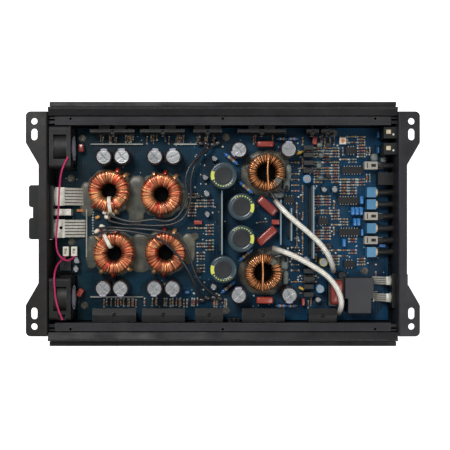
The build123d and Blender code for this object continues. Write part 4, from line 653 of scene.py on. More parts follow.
def wound_turns(inner, outer, wire, turns, layers, lean, span, seed):
    """Turns of wire round a ring, one closed loop each: p = (m + a * C, b * S) in the plane through the axis
    at the turn's angle, where C and S are the cosine and sine of the loop's own angle to about the power
    one half, so that the loop is a rounded square. The inner side of each turn lies in one of the layers,
    and the turn leans. With the shape come a tone and the turn's angle for every point."""
    draw = np.random.default_rng(seed)
    turn = np.radians(np.linspace(span[0], span[1], turns))[:, None] + draw.normal(0, 0.004, (turns, 1))
    lean = draw.normal(lean, 0.9, (turns, 1))
    own = np.linspace(0, 2 * math.pi, LOOP_POINTS, endpoint=False)[None]
    cosine, sine = np.cos(own), np.sin(own)
    square_c, square_s = np.sign(cosine) * np.abs(cosine) ** 0.55, np.sign(sine) * np.abs(sine) ** 0.5
    layer = (np.arange(turns) % layers)[:, None] * wire * 0.85 + draw.uniform(0, 0.25, (turns, 1))
    near, far = inner + wire / 2 + layer, outer - wire / 2 - draw.uniform(0, 0.5, (turns, 1))
    radius = (near + far) / 2 + (far - near) / 2 * square_c
    sink = layer * 0.45 * fit_curve(radius, outer, inner)
    half = (WINDING_TOP - WINDING_BOTTOM) / 2 - wire / 2
    middle = (WINDING_TOP + WINDING_BOTTOM) / 2
    height = middle + (half - sink - draw.uniform(0, 0.3, (turns, 1))) * square_s
    angle = turn + np.radians(lean) * sine + draw.normal(0, 0.008, (turns, 1)) * cosine
    paths = np.stack([radius * np.cos(angle), radius * np.sin(angle), height], axis=2)
    across = np.stack([-np.sin(turn[:, 0]), np.cos(turn[:, 0]), 0 * turn[:, 0]], axis=1)[:, None]
    shape = carry(paths, ring(wire / 2, WIRE_SIDES), across, closed=True)
    tone = np.repeat(draw.uniform(0, 1, turns), LOOP_POINTS * WIRE_SIDES)
    return shape, tone, np.repeat(turn[:, 0], LOOP_POINTS * WIRE_SIDES)


def fit_curve(value, low, high):
    """value as a share of the way from low to high, held between 0 and 1."""
    return np.clip((value - low) / (high - low), 0.0, 1.0)


# radii, wire, turns, layers, lean and the angles from which and to which the turns go
TRANSFORMER_COIL = (7.0, 20.0, 1.02, 112, 3, 5.0, (0.0, 356.8))
INDUCTOR_COILS = [(8.4, 18.6, 1.4, 47, 2, 3.0, span) for span in ((-24.0, 306.0), (56.0, 388.0))]
for index, (x, y) in enumerate(TRANSFORMERS):
    shape, tone, angle = wound_turns(*TRANSFORMER_COIL, seed=20 + index)
    # the two windings' turns change places in uneven groups
    groups = np.sin(angle * 41 + 3 * np.sin(angle * 5 + index))
    second = np.clip(0.5 + 0.7 * groups + 0.25 * np.sin(angle * 3 + index), 0, 1)
    piece(f"transformer_winding_{index + 1}", moved(shape, x, y), COPPER_WIRE,
          ["transformer_windings"] if index == 0 else (), values={"strand": tone, "kind": second})
for index, (x, y) in enumerate(INDUCTORS):
    shape, tone, _ = wound_turns(*INDUCTOR_COILS[index], seed=40 + index)
    piece(f"inductor_winding_{index + 1}", moved(shape, x, y), COIL_WIRE,
          ["inductor_windings"] if index == 0 else (), values={"strand": tone, "kind": 0 * tone})


def adhesive_bed(x, y, half_x, half_y, seed):
    """A lumpy bead round a part's foot: z = bottom + 1.85 * (1 - q ** 8) * (0.75 + 0.25 * w), where q is
    the share of the way out and w a sum of sine waves round and across the bead. Its edge wavers with the
    same waves."""
    draw = np.random.default_rng(seed)
    q = np.append(np.linspace(0, 1, 18), 0.0)[:, None]
    a = np.linspace(0, 2 * math.pi, 72, endpoint=False)[None]
    phase = draw.uniform(0, 6.28, 4)
    wave = (np.sin(3 * a + phase[0]) + np.sin(7 * a + phase[1] + 3 * q)
            + np.sin(13 * a + phase[2] + 9 * q)) / 3
    edge = 1 - 0.045 * (1 + wave)
    z = BOARD_TOP + 1.85 * (1 - q ** 8) * (0.75 + 0.25 * wave)
    z[-1] = BOARD_TOP
    points = np.stack([x + half_x * q * edge * np.cos(a), y + half_y * q * edge * np.sin(a), z], axis=2)
    return points.reshape(-1, 3), grid_faces(len(q), a.size, False, True)


# painted shade: black discs fill the wound parts' holes, where the holes are dark; they are not a part of the
# object
hole_shade_disc = lathe([(0, 24.5), (16.0, 24.5), (16.4, 24.9), (16.0, 25.3), (0, 25.3)], 48)
hole_shade_discs = [moved(hole_shade_disc, x, y) for x, y in TRANSFORMERS + INDUCTORS]
piece("painted_hole_shade_discs", join(*hole_shade_discs), HOLE_SHADE_BLACK)

beds = [adhesive_bed(x - 1.0, y, 24.6, 23.2, 60 + i) for i, (x, y) in enumerate(TRANSFORMERS)]
beds += [adhesive_bed(x + 0.6, y, 25.0, 24.0, 70 + i) for i, (x, y) in enumerate(INDUCTORS)]
# lumps of adhesive between parts: centre, size, and 0 for the set kind or 1 for the paler one
ADHESIVE_LUMPS = [
    (-83.6, 27.0, 23.4, 22, 40, 3.6, 0), (-84.0, 9.5, 23.4, 15, 20, 3, 0),
    (-79.3, -28.0, 23.4, 22, 38, 3.6, 0), (-131.5, 24.0, 23.4, 14, 34, 3, 0),
    (-127.0, -27.0, 23.4, 12, 32, 3, 0), (-33.5, -24.0, 23.4, 14, 30, 3, 0),
    (-38.0, 24.0, 23.6, 9, 20, 4, 0), (61.2, 38.0, 25.0, 7, 14, 7, 1), (63.4, 50.0, 25.0, 6, 16, 7, 1),
    (52.0, 27.6, 25.6, 14, 6, 7, 1), (59.5, -38.0, 25.0, 8, 13, 7, 1), (60.6, -52.0, 25.0, 6, 14, 6, 1),
    (52.0, -28.0, 27.0, 12, 6, 9, 1), (146.0, 64.0, 25.5, 7, 8, 6, 1), (155.0, 62.0, 25.0, 6, 6, 5, 1),
    (-104.0, 63.4, 25.0, 4, 9, 5, 0), (-55.5, 63.4, 25.0, 4, 9, 5, 0), (-104.6, -60.8, 25.0, 4, 9, 5, 0),
    (-56.0, -60.8, 25.0, 4, 9, 5, 0), (94.0, 44.0, 27.5, 6, 5, 8, 1), (92.5, 56.0, 27.5, 6, 6, 8, 1),
    (94.5, 66.0, 27.5, 6, 5, 8, 1), (93.0, 76.0, 27.0, 6, 5, 8, 1),
]
LUMP_KINDS = (("adhesive_lumps", 0, ADHESIVE), ("pale_adhesive_lumps", 1, PALE_ADHESIVE))
for piece_name, kind, finished in LUMP_KINDS:
    lumps = [copies(pillow(row[3:6], 0.7, 12, 22), [row[:3]]) for row in ADHESIVE_LUMPS if row[6] == kind]
    piece(piece_name, join(*lumps), finished)
piece("adhesive_beads", join(*beds), ADHESIVE, ["adhesive_beds"])

# ---------------------------------------------------------------- upright capacitors


def vented_top(radius, top, turn, cross):
    """A pressed disc: z = top - 0.35 * exp(-(d / 0.42) ** 2) within four fifths of its radius, with d the
    distance to the nearest vent line, less a groove 0.12 * exp(-((r - 0.88 * radius) / 0.3) ** 2) inside
    the rim. Two rows below close it."""
    r = np.append(np.linspace(0, radius, 15), [radius, 0.0])[:, None]
    a = np.linspace(0, 2 * math.pi, 56, endpoint=False)[None]
    x, y = r * np.cos(a), r * np.sin(a)
    spin = math.radians(turn)
    u, v = x * math.cos(spin) + y * math.sin(spin), y * math.cos(spin) - x * math.sin(spin)
    distance = np.minimum(np.abs(u), np.abs(v)) if cross else np.abs(v)
    vents = 0.35 * np.exp(-(distance / 0.42) ** 2) * (r < 0.8 * radius)
    z = top - vents - 0.12 * np.exp(-((r - 0.88 * radius) / 0.3) ** 2)
    z[-2:] = top - 1.0
    return np.stack([x, y, z], axis=2).reshape(-1, 3), grid_faces(len(r), a.size, False, True)


# the printed stripe's half angle, and the height from which and the radius outside which it shows
STRIPE_HALF, STRIPE_FROM, STRIPE_OUTSIDE = 24, 27, 6.35
# tops turned less than this have one vent line, the others a cross
CROSS_FROM = 25
filter_profile = [(0, BOARD_TOP), (7.6, BOARD_TOP), (8.0, 23.2), (8.0, 24.8), (7.3, 25.6), (8.0, 26.4),
                  (8.0, 46.3), (7.9, 46.9), (7.6, 47.5), (7.1, 47.9), (6.7, 48.0), (6.4, 47.8), (6.3, 47.2),
                  (0, 47.1)]
sleeves, stripes, tops = [], [], []
for x, y, toward, vent in FILTER_CAPACITORS:
    shape = lathe(filter_profile, 72)
    across, along, height = shape[0].T
    away = np.abs((np.degrees(np.arctan2(along, across)) - toward + 180) % 360 - 180)
    stripes.append((away < STRIPE_HALF) * (height > STRIPE_FROM) * (np.hypot(across, along) > STRIPE_OUTSIDE))
    sleeves.append(moved(shape, x, y))
    tops.append(moved(vented_top(6.38, 47.75, vent, vent > CROSS_FROM), x, y))
piece("filter_capacitor_sleeves", join(*sleeves), FILTER_SLEEVE, ["filter_capacitors"],
      values={"stripe": np.concatenate(stripes)})
piece("filter_capacitor_tops", join(*tops), CAN_ALUMINIUM, sharp=60.0)

main_wrap = lathe([(0, BOARD_TOP), (12.4, BOARD_TOP), (12.8, 23.2), (12.8, 52.2), (12.7, 52.9), (12.3, 53.5),
                   (11.6, 53.9), (10.6, 54.0), (8.5, 53.9), (8.1, 53.6), (8.0, 53.1), (0, 53.0)], 64)
main_disc = lathe([(0, 52.6), (8.0, 52.6), (8.2, 53.5), (7.8, 53.75), (7.0, 53.6), (0, 53.5)], 56)
piece("main_capacitor_wraps", join(*[moved(main_wrap, x, y) for x, y in MAIN_CAPACITORS]), MAIN_SLEEVE,
      ["main_capacitor_sleeves"])
piece("main_capacitor_discs", join(*[moved(main_disc, x, y) for x, y in MAIN_CAPACITORS]), BUNG_RUBBER,
      sharp=60.0)


def arc_mark(x, y, inner, outer, start, end, z=54.04):
    """A flat printed mark: a thin oblong section carried along an arc about the capacitor's axis."""
    angle = np.radians(np.linspace(start, end, 9))
    middle = (inner + outer) / 2
    path = np.stack([x + middle * np.cos(angle), y + middle * np.sin(angle), z + 0 * angle], axis=1)
    half = (outer - inner) / 2
    return carry(path, [(-half, -0.05), (half, -0.05), (half, 0.05), (-half, 0.05)], (0, 0, 1))


# each sleeve has one broad mark, at the angle given here, and a row of ticks that follows it
MARK_ANGLES = (180, -6, -2, 182)
TICK_ANGLES = range(30, 140, 14)
marks = []
for (x, y), toward in zip(MAIN_CAPACITORS, MARK_ANGLES):
    marks.append(arc_mark(x, y, 8.7, 11.9, toward - 22, toward + 22))
    marks += [arc_mark(x, y, 9.7, 10.6, toward + tick, toward + tick + 7) for tick in TICK_ANGLES]
piece("capacitor_marks", join(*marks), MARK_INK)

# the first cans have bright sleeves, the others the plain one
BRIGHT_SLEEVES = ["#3f8fc4", "#3f8fc4", "#1f2c4a", "#b5a54a"]
PLAIN_SLEEVE, CAN_TOP, CAN_STRIPE = "#1c2029", "#8f9193", "#9aa3b8"
small_cans, small_tints = [], []
for number, (x, y, r, top) in enumerate(SIGNAL_CAPACITORS):
    shape = lathe([(0, BOARD_TOP), (r, BOARD_TOP), (r, 24.0), (r - 0.3, 24.5), (r, 25.0), (r, top - 0.5),
                   (r - 0.2, top - 0.1), (r - 0.6, top), (r - 0.8, top - 0.05), (r - 0.9, top - 0.3),
                   (0, top - 0.25)], 32)
    across, along, height = shape[0].T
    silver = (np.hypot(across, along) < r - 0.85) & (height > top - 1)
    toward = 80 * ((x * 7) % 3 - 1)
    stripe = np.abs(np.degrees(np.arctan2(along, across)) - toward) < 22
    sleeve_code = BRIGHT_SLEEVES[number] if number < len(BRIGHT_SLEEVES) else PLAIN_SLEEVE
    tint = np.where(silver[:, None], colour(CAN_TOP)[:3], colour(sleeve_code)[:3])
    tint = np.where((stripe & ~silver)[:, None], colour(CAN_STRIPE)[:3], tint)
    small_cans.append(moved(shape, x, y))
    small_tints.append(tint)
piece("signal_capacitor_cans", join(*small_cans), TINTED_GLOSS, ["signal_capacitors"],
      tints={"tint": np.concatenate(small_tints)})

# ---------------------------------------------------------------- dipped capacitors and resistors

# the last of the film capacitors, from this number on, are boxed blue ones
FIRST_BLUE = 11
DIPPED_CODES = ["#8f3529", "#9a3a2b", "#84332b"]
dipped, dipped_tints = [], []
for number, (x, y, length, width, bottom, top, turn) in enumerate(FILM_CAPACITORS):
    shape = copies(pillow((length, width, top - bottom), 0.3), [(x, y, (bottom + top) / 2)], turn)
    code = "#2a72b0" if number >= FIRST_BLUE else DIPPED_CODES[number % len(DIPPED_CODES)]
    dipped.append(shape)
    dipped_tints.append(one_tint(shape, code))
piece("dipped_capacitors", join(*dipped), TINTED_GLOSS, ["film_capacitors"],
      tints={"tint": np.concatenate(dipped_tints)})


def resistor(length, radius, drop, steps=16):
    """A wire-ended resistor along X: a turned body with swollen ends, and two leads that bend down to the
    board, with a number for each point: 0 the leads, 1 the body, 2 to 4 the painted bands."""
    half = length / 2
    rows = [(0, -half), (0.8, -half), (1.0, -half * 0.9), (1.0, -half * 0.68), (0.86, -half * 0.56),
            (0.86, -half * 0.38), (0.86, -half * 0.36), (0.86, -half * 0.16), (0.86, 0.0),
            (0.86, half * 0.2), (0.86, half * 0.22), (0.86, half * 0.42), (0.86, half * 0.56),
            (1.0, half * 0.68), (1.0, half * 0.9), (0.8, half), (0, half)]
    body = along_x(lathe([(r * radius, h) for r, h in rows], steps))
    part = np.repeat([1, 1, 1, 1, 1, 2, 2, 1, 3, 3, 1, 4, 1, 1, 1, 1, 1], steps)
    out = half + 1.0
    leads = [carry([(side * (half - 0.4), 0, 0), (side * out, 0, 0), (side * (out + 0.35), 0, -0.4),
                    (side * (out + 0.35), 0, -drop)], ring(0.3, 4), (0, 1, 0)) for side in (-1, 1)]
    shape = join(body, *leads)
    return shape, np.concatenate([part, np.zeros(len(shape[0]) - len(part))])


def palette_of(codes):
    """The colours of several codes, as rows."""
    return np.array([colour(code)[:3] for code in codes])


# leads, body and the three bands
BIG_RESISTOR_CODES = ["#b9b7ae", "#2f66ad", "#d3b93a", "#8a5a2a", "#b8a23a"]
big, big_tints = [], []
for x, y, length, radius, height, turn in POWER_RESISTORS:
    shape, part = resistor(length, radius, height - BOARD_TOP)
    big.append(copies(shape, [(x, y, height)], turn))
    big_tints.append(palette_of(BIG_RESISTOR_CODES)[part.astype(int)])
piece("blue_resistors", join(*big), TINTED_GLOSS, ["power_resistors"],
      tints={"tint": np.concatenate(big_tints)})

# ---------------------------------------------------------------- small parts on the board

# places that small parts keep out of: x, y, half length, half width
KEEP_OUT = [(x, y, 22.5, 21.5) for x, y in TRANSFORMERS + INDUCTORS]
KEEP_OUT += [(x, y, 14.0, 14.0) for x, y in MAIN_CAPACITORS]
KEEP_OUT += [(x, y, 9.0, 9.0) for x, y, _, _ in FILTER_CAPACITORS]
KEEP_OUT += [(x, y, r + 0.8, r + 0.8) for x, y, r, _ in SIGNAL_CAPACITORS]
KEEP_OUT += [(x, y, max(length, width) / 2 + 0.6, width / 2 + 0.6) if turn == 0 else (x, y, 9.5, 9.5)
             for x, y, length, width, _, _, turn in FILM_CAPACITORS]
KEEP_OUT += [(x, y, 7.0, 6.5) for x, y, *_ in POWER_RESISTORS[:4]]
KEEP_OUT += [(x, y, 6.5, 2.5) for x, y, *_ in POWER_RESISTORS[4:]]
KEEP_OUT += [(x, y, length / 2 + 1.0, 5.0) for x, y, length in CHIPS]
KEEP_OUT += [(x - 1.2, (low + high) / 2, 3.0, (high - low) / 2 + 1) for x, low, high, _ in MODULE_BOARDS]
KEEP_OUT += [(CONTROL_X, y, 8.5, 5.5) for y in POT_Y + SWITCH_Y]
KEEP_OUT += [(129.3, -65.0, 15.0, 21.0), (55.5, 1.5, 1.5, 23.0)]
KEEP_OUT += [(157, y, 9.0, 7.0) for y in PHONO_Y] + [(155.0, 43.2, 9.0, 7.5), (107.0, -46.0, 4.5, 5.0)]
KEEP_OUT += [(-102.5, 77.0, 26.5, 1.2), (-102.5, -70.4, 26.5, 1.2), (-131.6, -9.0, 1.2, 24.0)]
KEEP_OUT += [(-150.0, 72.0, 30.0, 40.0), (-150.0, -70.0, 28.0, 32.0), (-147.0, 10.0, 18.0, 42.0)]
KEEP_OUT += [(111.0, -84.5, 4.0, 4.0)] + [(x, y, 4.4, 4.4) for x, y in BOARD_SCREWS]


def free_places(places, half_x, half_y, taken):
    """The places whose small rectangle touches none of the taken ones."""
    places, taken = np.asarray(places, float), np.asarray(taken, float)
    over_x = np.abs(places[:, None, 0] - taken[None, :, 0]) < half_x + taken[None, :, 2]
    over_y = np.abs(places[:, None, 1] - taken[None, :, 1]) < half_y + taken[None, :, 3]
    return places[~(over_x & over_y).any(axis=1)]


def lattice(x_range, y_range, x_step, y_step):
    """Places on an even lattice."""
    x, y = np.meshgrid(np.arange(*x_range, x_step), np.arange(*y_range, y_step))
    return np.stack([x.ravel(), y.ravel()], axis=1)


SMALL_HEIGHT = BOARD_TOP + 1.25
small_shape, small_part = resistor(3.9, 0.9, SMALL_HEIGHT - BOARD_TOP, 8)
LEAD_CODE = "#a9a9a4"
BODY_CODES = ["#8f7450", "#8a5a3a", "#75604a", "#4a6b66", "#7d4a34", "#6a4a34", "#9a8766", "#57483a"]
BAND_CODES = ["#7a2e1e", "#c46a1e", "#1f1f20", "#a08a2e", "#b9b4a4", "#6a3a8a"]
# resistors that stand across the long sides, then lattices of level and upright ones, thinned out at random
across_rows = free_places(np.concatenate([
    rng.uniform((-124, 79.5), (108, 85.0), (60, 2)), rng.uniform((-124, -77.0), (108, -75.0), (60, 2))]),
    1.3, 2.2, KEEP_OUT)
taken = KEEP_OUT + [(x, y, 1.2, 3.8) for x, y in across_rows]
level_rows = free_places(np.concatenate([
    lattice((92, 137), (-42, 86), 8.4, 2.75), lattice((70, 92), (-78, 80), 8.4, 5.5),
    lattice((-30, -8), (-46, 34), 8.6, 3.0), lattice((30, 60), (-30, 30), 8.6, 6.4)]), 3.9, 1.2, taken)
level_rows = level_rows[rng.uniform(0, 1, len(level_rows)) < 0.86]
taken += [(x, y, 3.9, 1.2) for x, y in level_rows]
upright = free_places(np.concatenate([
    lattice((90, 150), (-50, 86), 2.9, 8.6), lattice((66, 92), (-78, 80), 5.6, 8.6)]), 1.1, 3.6, taken)
upright = upright[rng.uniform(0, 1, len(upright)) < 0.7]
places = np.concatenate([across_rows, level_rows, upright])
turns = np.concatenate([np.full(len(across_rows), 90.0), np.zeros(len(level_rows)),
                        np.full(len(upright), 90.0)])
turns += rng.normal(0, 1.5, len(turns))
bodies = palette_of(BODY_CODES)[rng.integers(0, len(BODY_CODES), len(places))]
bands = palette_of(BAND_CODES)[rng.integers(0, len(BAND_CODES), (len(places), 3))]
tints = np.tile(colour(LEAD_CODE)[:3], (len(places), len(small_part), 1))
tints[:, small_part == 1] = bodies[:, None]
for band in range(3):
    tints[:, small_part == 2 + band] = bands[:, band][:, None]
lifted = np.column_stack([places, np.full(len(places), SMALL_HEIGHT)])
piece("small_resistors", copies(small_shape, lifted, turns), TINTED_PART,
      tints={"tint": tints.reshape(-1, 3)})

# solder joints: at the resistors' feet, at the transistors' legs, in rows along the tracks and here and there
FOOT_REACH = 3.3
reach = np.stack([np.cos(np.radians(turns)), np.sin(np.radians(turns))], axis=1) * FOOT_REACH
joints = [places + reach, places - reach]
legs = [(x + step, side * TRANSISTOR_LEG_Y) for bars, side in ((BARS_BACK, 1), (BARS_FRONT, -1))
        for start, end in bars for x in np.arange(start + 4.0, end - 2.0, TRANSISTOR_PITCH)
        for step in (-LEG_PITCH, 0.0, LEG_PITCH)]
joints.append(np.array(legs))
joints.append(lattice((-126, -124), (-38, 40), 2.6, 2.6))
joints.append(free_places(rng.uniform((-30, -80), (150, 80), (420, 2)), 0.8, 0.8, taken))
joints = np.concatenate(joints)
joint = lathe([(0, 0), (0.95, 0), (0.8, 0.16), (0.4, 0.34), (0, 0.42)], 10)
piece("solder_joints", copies(joint, np.column_stack([joints, np.full(len(joints), BOARD_TOP)]),
                              sizes=rng.uniform(0.7, 1.15, (len(joints), 1)) * np.ones((1, 3))),
      TINNED)

pins = [(x + (number - (count - 1) / 2) * LEG_PITCH, y + side * CHIP_PIN_Y) for x, y, length in CHIPS
        for count in [int(length // LEG_PITCH)] for number in range(count) for side in (-1, 1)]
shoulders = copies(block((0.6, 1.2, 0.5), 0.15), [(x, y, 25.0) for x, y in pins])
shanks = copies(block((0.6, 0.35, 2.6), 0.12),
                [(x, y + math.copysign(0.45, y - round(y)), 23.8) for x, y in pins])
piece("chip_pins", join(shoulders, shanks), TINNED)

land = lathe([(2.9, 0), (3.5, 0), (3.5, 0.12), (2.9, 0.12)], 32, closed=True)
piece("screw_lands", copies(land, [(x, y, BOARD_TOP) for x, y in BOARD_SCREWS]), BRIGHT_SCREW)

# odd parts: kind of shape, centre, size, turn, colour
ODD_PARTS = [
    ("pillow", (73.5, 68.5, 27.0), (6.0, 2.6, 6.5), 20, "#c9a63a"),
    ("pillow", (75.5, -62.0, 27.0), (6.0, 2.6, 6.5), -25, "#c9a63a"),
    ("block", (115.5, 80.0, 25.4), (6.5, 6.5, 5.2), 0, "#d8d4cb"),
    ("block", (115.5, 80.0, 28.2), (3.4, 3.4, 0.9), 45, "#d07a2c"),
    ("block", (108.2, -65.1, 30.0), (15.4, 26.5, 14.0), 0, "#161618"),
    ("block", (143.4, -69.0, 30.0), (1.4, 10.0, 14.0), 0, "#cfcdc6"),
    ("block", (155.4, 86.5, 50.0), (4.4, 4.0, 0.5), 0, "#cdbf9f"),
    ("block", (155.4, 71.2, 50.0), (4.4, 4.0, 0.5), 0, "#cdbf9f"),
    ("pillow", (160.0, 84.0, 49.9), (1.8, 1.8, 0.8), 0, "#e2e0da"),
    ("pillow", (160.0, 69.0, 49.9), (1.8, 1.8, 0.8), 0, "#e2e0da"),
    ("pillow", (149.5, 86.0, 27.2), (1.8, 6.6, 6.6), 0, "#3f78ad"),
    ("pillow", (149.5, 71.0, 27.2), (1.8, 6.6, 6.6), 0, "#3f78ad"),
    ("block", (154.0, -21.0, 24.2), (6.0, 3.0, 2.4), 0, "#3a72b8"),
    ("block", (-138.0, 13.0, 24.3), (6.5, 2.4, 2.4), 0, "#b8703a"),
    ("pillow", (-121.0, 6.5, 25.4), (5.0, 3.0, 4.2), 25, "#c58a44"),
    ("pillow", (-34.5, -66.0, 25.4), (5.0, 3.0, 4.2), 0, "#3a5f8f"),
]
# diodes and small transistors that stand on end: centre, size
DARK_BLOCKS = [((82.0, y, 28.5), (9.8, 4.4, 11.5))
               for y in (51.0, 58.5, 66.0, 73.0, -45.0, -52.5, -60.0, -67.5)]
DARK_BLOCKS += [((101.5, y, 26.6), (4.6, 3.6, 6.6)) for y in (46.0, 62.0, 76.0, -20.0)]
DARK_BLOCKS += [((-24.0, y, 27.0), (4.8, 3.8, 7.6)) for y in (-45.0, 27.0)]
odd, odd_tints = [], []
for kind, place, size, turn, code in ODD_PARTS:
    shape = copies(pillow(size, 0.5, 10, 16) if kind == "pillow" else block(size, 0.3), [place], turn)
    odd.append(shape)
    odd_tints.append(one_tint(shape, code))
for place, size in DARK_BLOCKS:
    shape = copies(block(size, 0.35), [place])
    odd.append(shape)
    odd_tints.append(one_tint(shape, "#202124"))
dark_can = moved(lathe([(0, BOARD_TOP), (4.2, BOARD_TOP), (4.2, 32.6), (3.8, 33.4), (3.2, 33.5), (3.0, 33.2),
                        (0, 33.3)], 32), 114.5, -49.5)
odd.append(dark_can)
odd_tints.append(one_tint(dark_can, "#1b1b1d"))
piece("odd_parts", join(*odd), TINTED_PART, tints={"tint": np.concatenate(odd_tints)})

# the dark blocks' feet, as short wires down to the board
feet = [(x + step, y, 24.6) for (x, y, _), (length, _, _) in DARK_BLOCKS
        for step in (-length / 4, length / 4)]
piece("dark_part_feet", copies(block((0.7, 0.4, 5.0), 0.12), feet), TINNED)

collar = along_x(lathe([(2.0, 146.0), (3.9, 146.0), (4.2, 146.3), (4.2, 147.2), (3.9, 147.5), (3.4, 148.3),
                        (2.0, 148.3)], 40, closed=True))
piece("pot_collars", copies(collar, [(0, y, CONTROL_Z) for y in POT_Y]), POT_CREAM)
latches = join(copies(block((4.0, 2.4, 0.8), 0.2), [(144.2, y, 33.0) for y in SWITCH_Y]),
               copies(block((0.9, 5.0, 0.5), 0.15), [(138.2, y, 33.5) for y in SWITCH_Y]))
piece("switch_latches", latches, MOULDED_BLACK)
control_route = [(150.2, 24.0), (153.0, 24.4), (158.5, 23.4), (159.6, 22.7)]
leads_out = [carry([(x, y + step, z) for x, z in control_route], ring(0.35, 6), (0, 1, 0))
             for y in POT_Y + SWITCH_Y for step in (-2.5, 0.0, 2.5)]
piece("control_leads", join(*leads_out), TINNED)

# labels on the fans' hubs, made about X and set down at each fan
hubs = [(0, y, FAN_Z) for y in FAN_Y.values()]
label = lathe([(0, -141.99), (11.3, -141.99), (11.5, -141.93), (11.5, -141.86), (0, -141.84)], 56)
piece("hub_labels", copies(along_x(label), hubs), LABEL_PAPER)
band = lathe([(8.6, -141.86), (9.6, -141.86), (9.6, -141.78), (8.6, -141.78)], 56, closed=True)
piece("hub_label_rings", copies(along_x(band), hubs), MOULDED_BLACK)

# ---------------------------------------------------------------- short leads of the wound parts


def bundle(start, end, rise, strands, radius, lean, seed):
    """Strands from a winding's rim to the board: the straight line, lifted by rise * sin(pi t) and pushed
    out by lean * sin(pi t), each strand turned a little about the others."""
    draw = np.random.default_rng(seed)
    start, end = np.asarray(start, float), np.asarray(end, float)
    t = np.linspace(0, 1, 14)[None, :, None]
    flat = (end - start) * (1, 1, 0)
    flat = flat / max(np.linalg.norm(flat), 0.01)
    spin = (np.arange(strands) / strands * 2 * math.pi)[:, None, None] + t * 5.0
    bulge = np.sin(math.pi * t)
    offset = np.concatenate([np.cos(spin) * flat[1], -np.cos(spin) * flat[0], np.sin(spin)], axis=2)
    line = start + (end - start) * t + bulge * (0, 0, rise) + bulge * flat * lean
    paths = line + offset * radius * 1.05 * (strands > 1) * (0.5 + 0.5 * bulge)
    reference = (flat[1] + draw.normal(0, 0.02), -flat[0], 0.05)
    return carry(paths, ring(radius, 7), reference)


def rim(index, x, y, reach=18.5, z=38.0):
    """A point on a transformer's rim that faces x, y."""
    centre_x, centre_y = TRANSFORMERS[index]
    away = math.hypot(x - centre_x, y - centre_y)
    return centre_x + (x - centre_x) / away * reach, centre_y + (y - centre_y) / away * reach, z


# transformer, foot of the bundle, kind (0 gold, 1 red), strands
SHORT_LEADS = [
    (0, -91.0, 48.5, 0, 5), (0, -99.5, 54.0, 1, 3), (0, -101.0, 10.0, 0, 4), (0, -124.5, 16.0, 1, 3),
    (1, -54.6, 51.5, 1, 3), (1, -43.5, 47.5, 0, 5), (1, -60.0, 6.8, 1, 3), (1, -66.5, 49.0, 0, 3),
    (2, -117.5, -47.5, 0, 5), (2, -105.0, -51.5, 1, 3), (2, -102.0, -3.8, 1, 3), (2, -88.0, -44.5, 0, 3),
    (3, -67.0, -47.5, 0, 4), (3, -56.5, -50.0, 1, 3), (3, -56.0, -3.4, 1, 3), (3, -45.5, -4.6, 0, 4),
]
# transformer, joint with a black wire, kind
WIRED_LEADS = [
    (0, (-112.4, 10.6, 37.0), 0), (0, (-108.9, 3.6, 33.0), 0),
    (2, (-121.1, -10.9, 44.0), 0), (2, (-118.0, -4.2, 40.0), 1),
]
bundles, kinds = [], []
for number, (index, x, y, kind, strands) in enumerate(SHORT_LEADS):
    bundles.append(bundle(rim(index, x, y), (x, y, BOARD_TOP), 4.0, strands + 1, 0.95, 1.6, 90 + number))
    kinds.append(kind)
for number, (index, end, kind) in enumerate(WIRED_LEADS):
    bundles.append(bundle(rim(index, end[0], end[1], 17.0, 41.0), end, 1.2, 3, 0.6, 0.2, 120 + number))
    kinds.append(kind)
counts = [len(points) for points, _ in bundles]
piece("winding_leads", join(*bundles), COPPER_WIRE,
      values={"strand": np.full(sum(counts), 0.75), "kind": np.repeat(np.array(kinds, float), counts)})

# the coils' straight wire over the hole, and the black sleeves on their tails
cross_wires = [carry([(x + dx, y - 17, 42.8), (x + dx, y - 12, 45.4), (x + dx * 0.6, y, 44.0),
                      (x + dx, y + 12, 45.4), (x + dx, y + 17, 42.8)], ring(0.95, 10), (1, 0, 0))
               for (x, y), dx in zip(INDUCTORS, (1.5, -1.0))]
cross_shape = join(*cross_wires)
piece("coil_cross_wires", cross_shape, COIL_WIRE,
      values={"strand": np.full(len(cross_shape[0]), 0.8), "kind": np.zeros(len(cross_shape[0]))})
# route, radius, the direction that the section is laid from
TAILS = [
    ([(52.0, 33.5, 41.5), (57.0, 31.0, 42.0), (60.5, 33.0, 36.0), (61.5, 36.0, 28.0)], 1.6, (0, 1, 0.2)),
    ([(45.5, 29.5, 40.5), (47.5, 26.5, 43.0), (49.6, 22.6, 43.0)], 1.7, (1, 0, 0)),
    ([(50.0, -31.5, 41.0), (55.0, -29.5, 41.5), (59.5, -32.0, 35.0), (60.5, -36.0, 27.0)], 1.6, (0, 1, 0.2)),
    ([(40.0, -26.2, 41.0), (42.5, -23.6, 44.5), (46.6, -22.6, 46.5)], 1.7, (0, 1, 0.2)),
]
tails = [carry(route, ring(radius, 12), reference) for route, radius, reference in TAILS]
piece("coil_tail_sleeves", join(*tails), WIRE_BLACK)

# shrunk sleeves where the black wires end on the board: x, y, turn
SLEEVED_ENDS = [
    (-21.5, 77.6, 12), (-15.6, 77.0, -15), (-9.6, 76.4, 10), (-5.0, 78.0, 40),
    (-20.5, -73.4, 8), (-15.4, -71.2, -20), (-9.0, -71.0, 16), (-3.4, -71.8, -10),
]
sleeved = [copies(pillow((6.4, 4.2, 6.2), 0.55, 10, 16), [(x, y, 26.0)], turn) for x, y, turn in SLEEVED_ENDS]
piece("sleeved_ends", join(*sleeved), WIRE_BLACK)
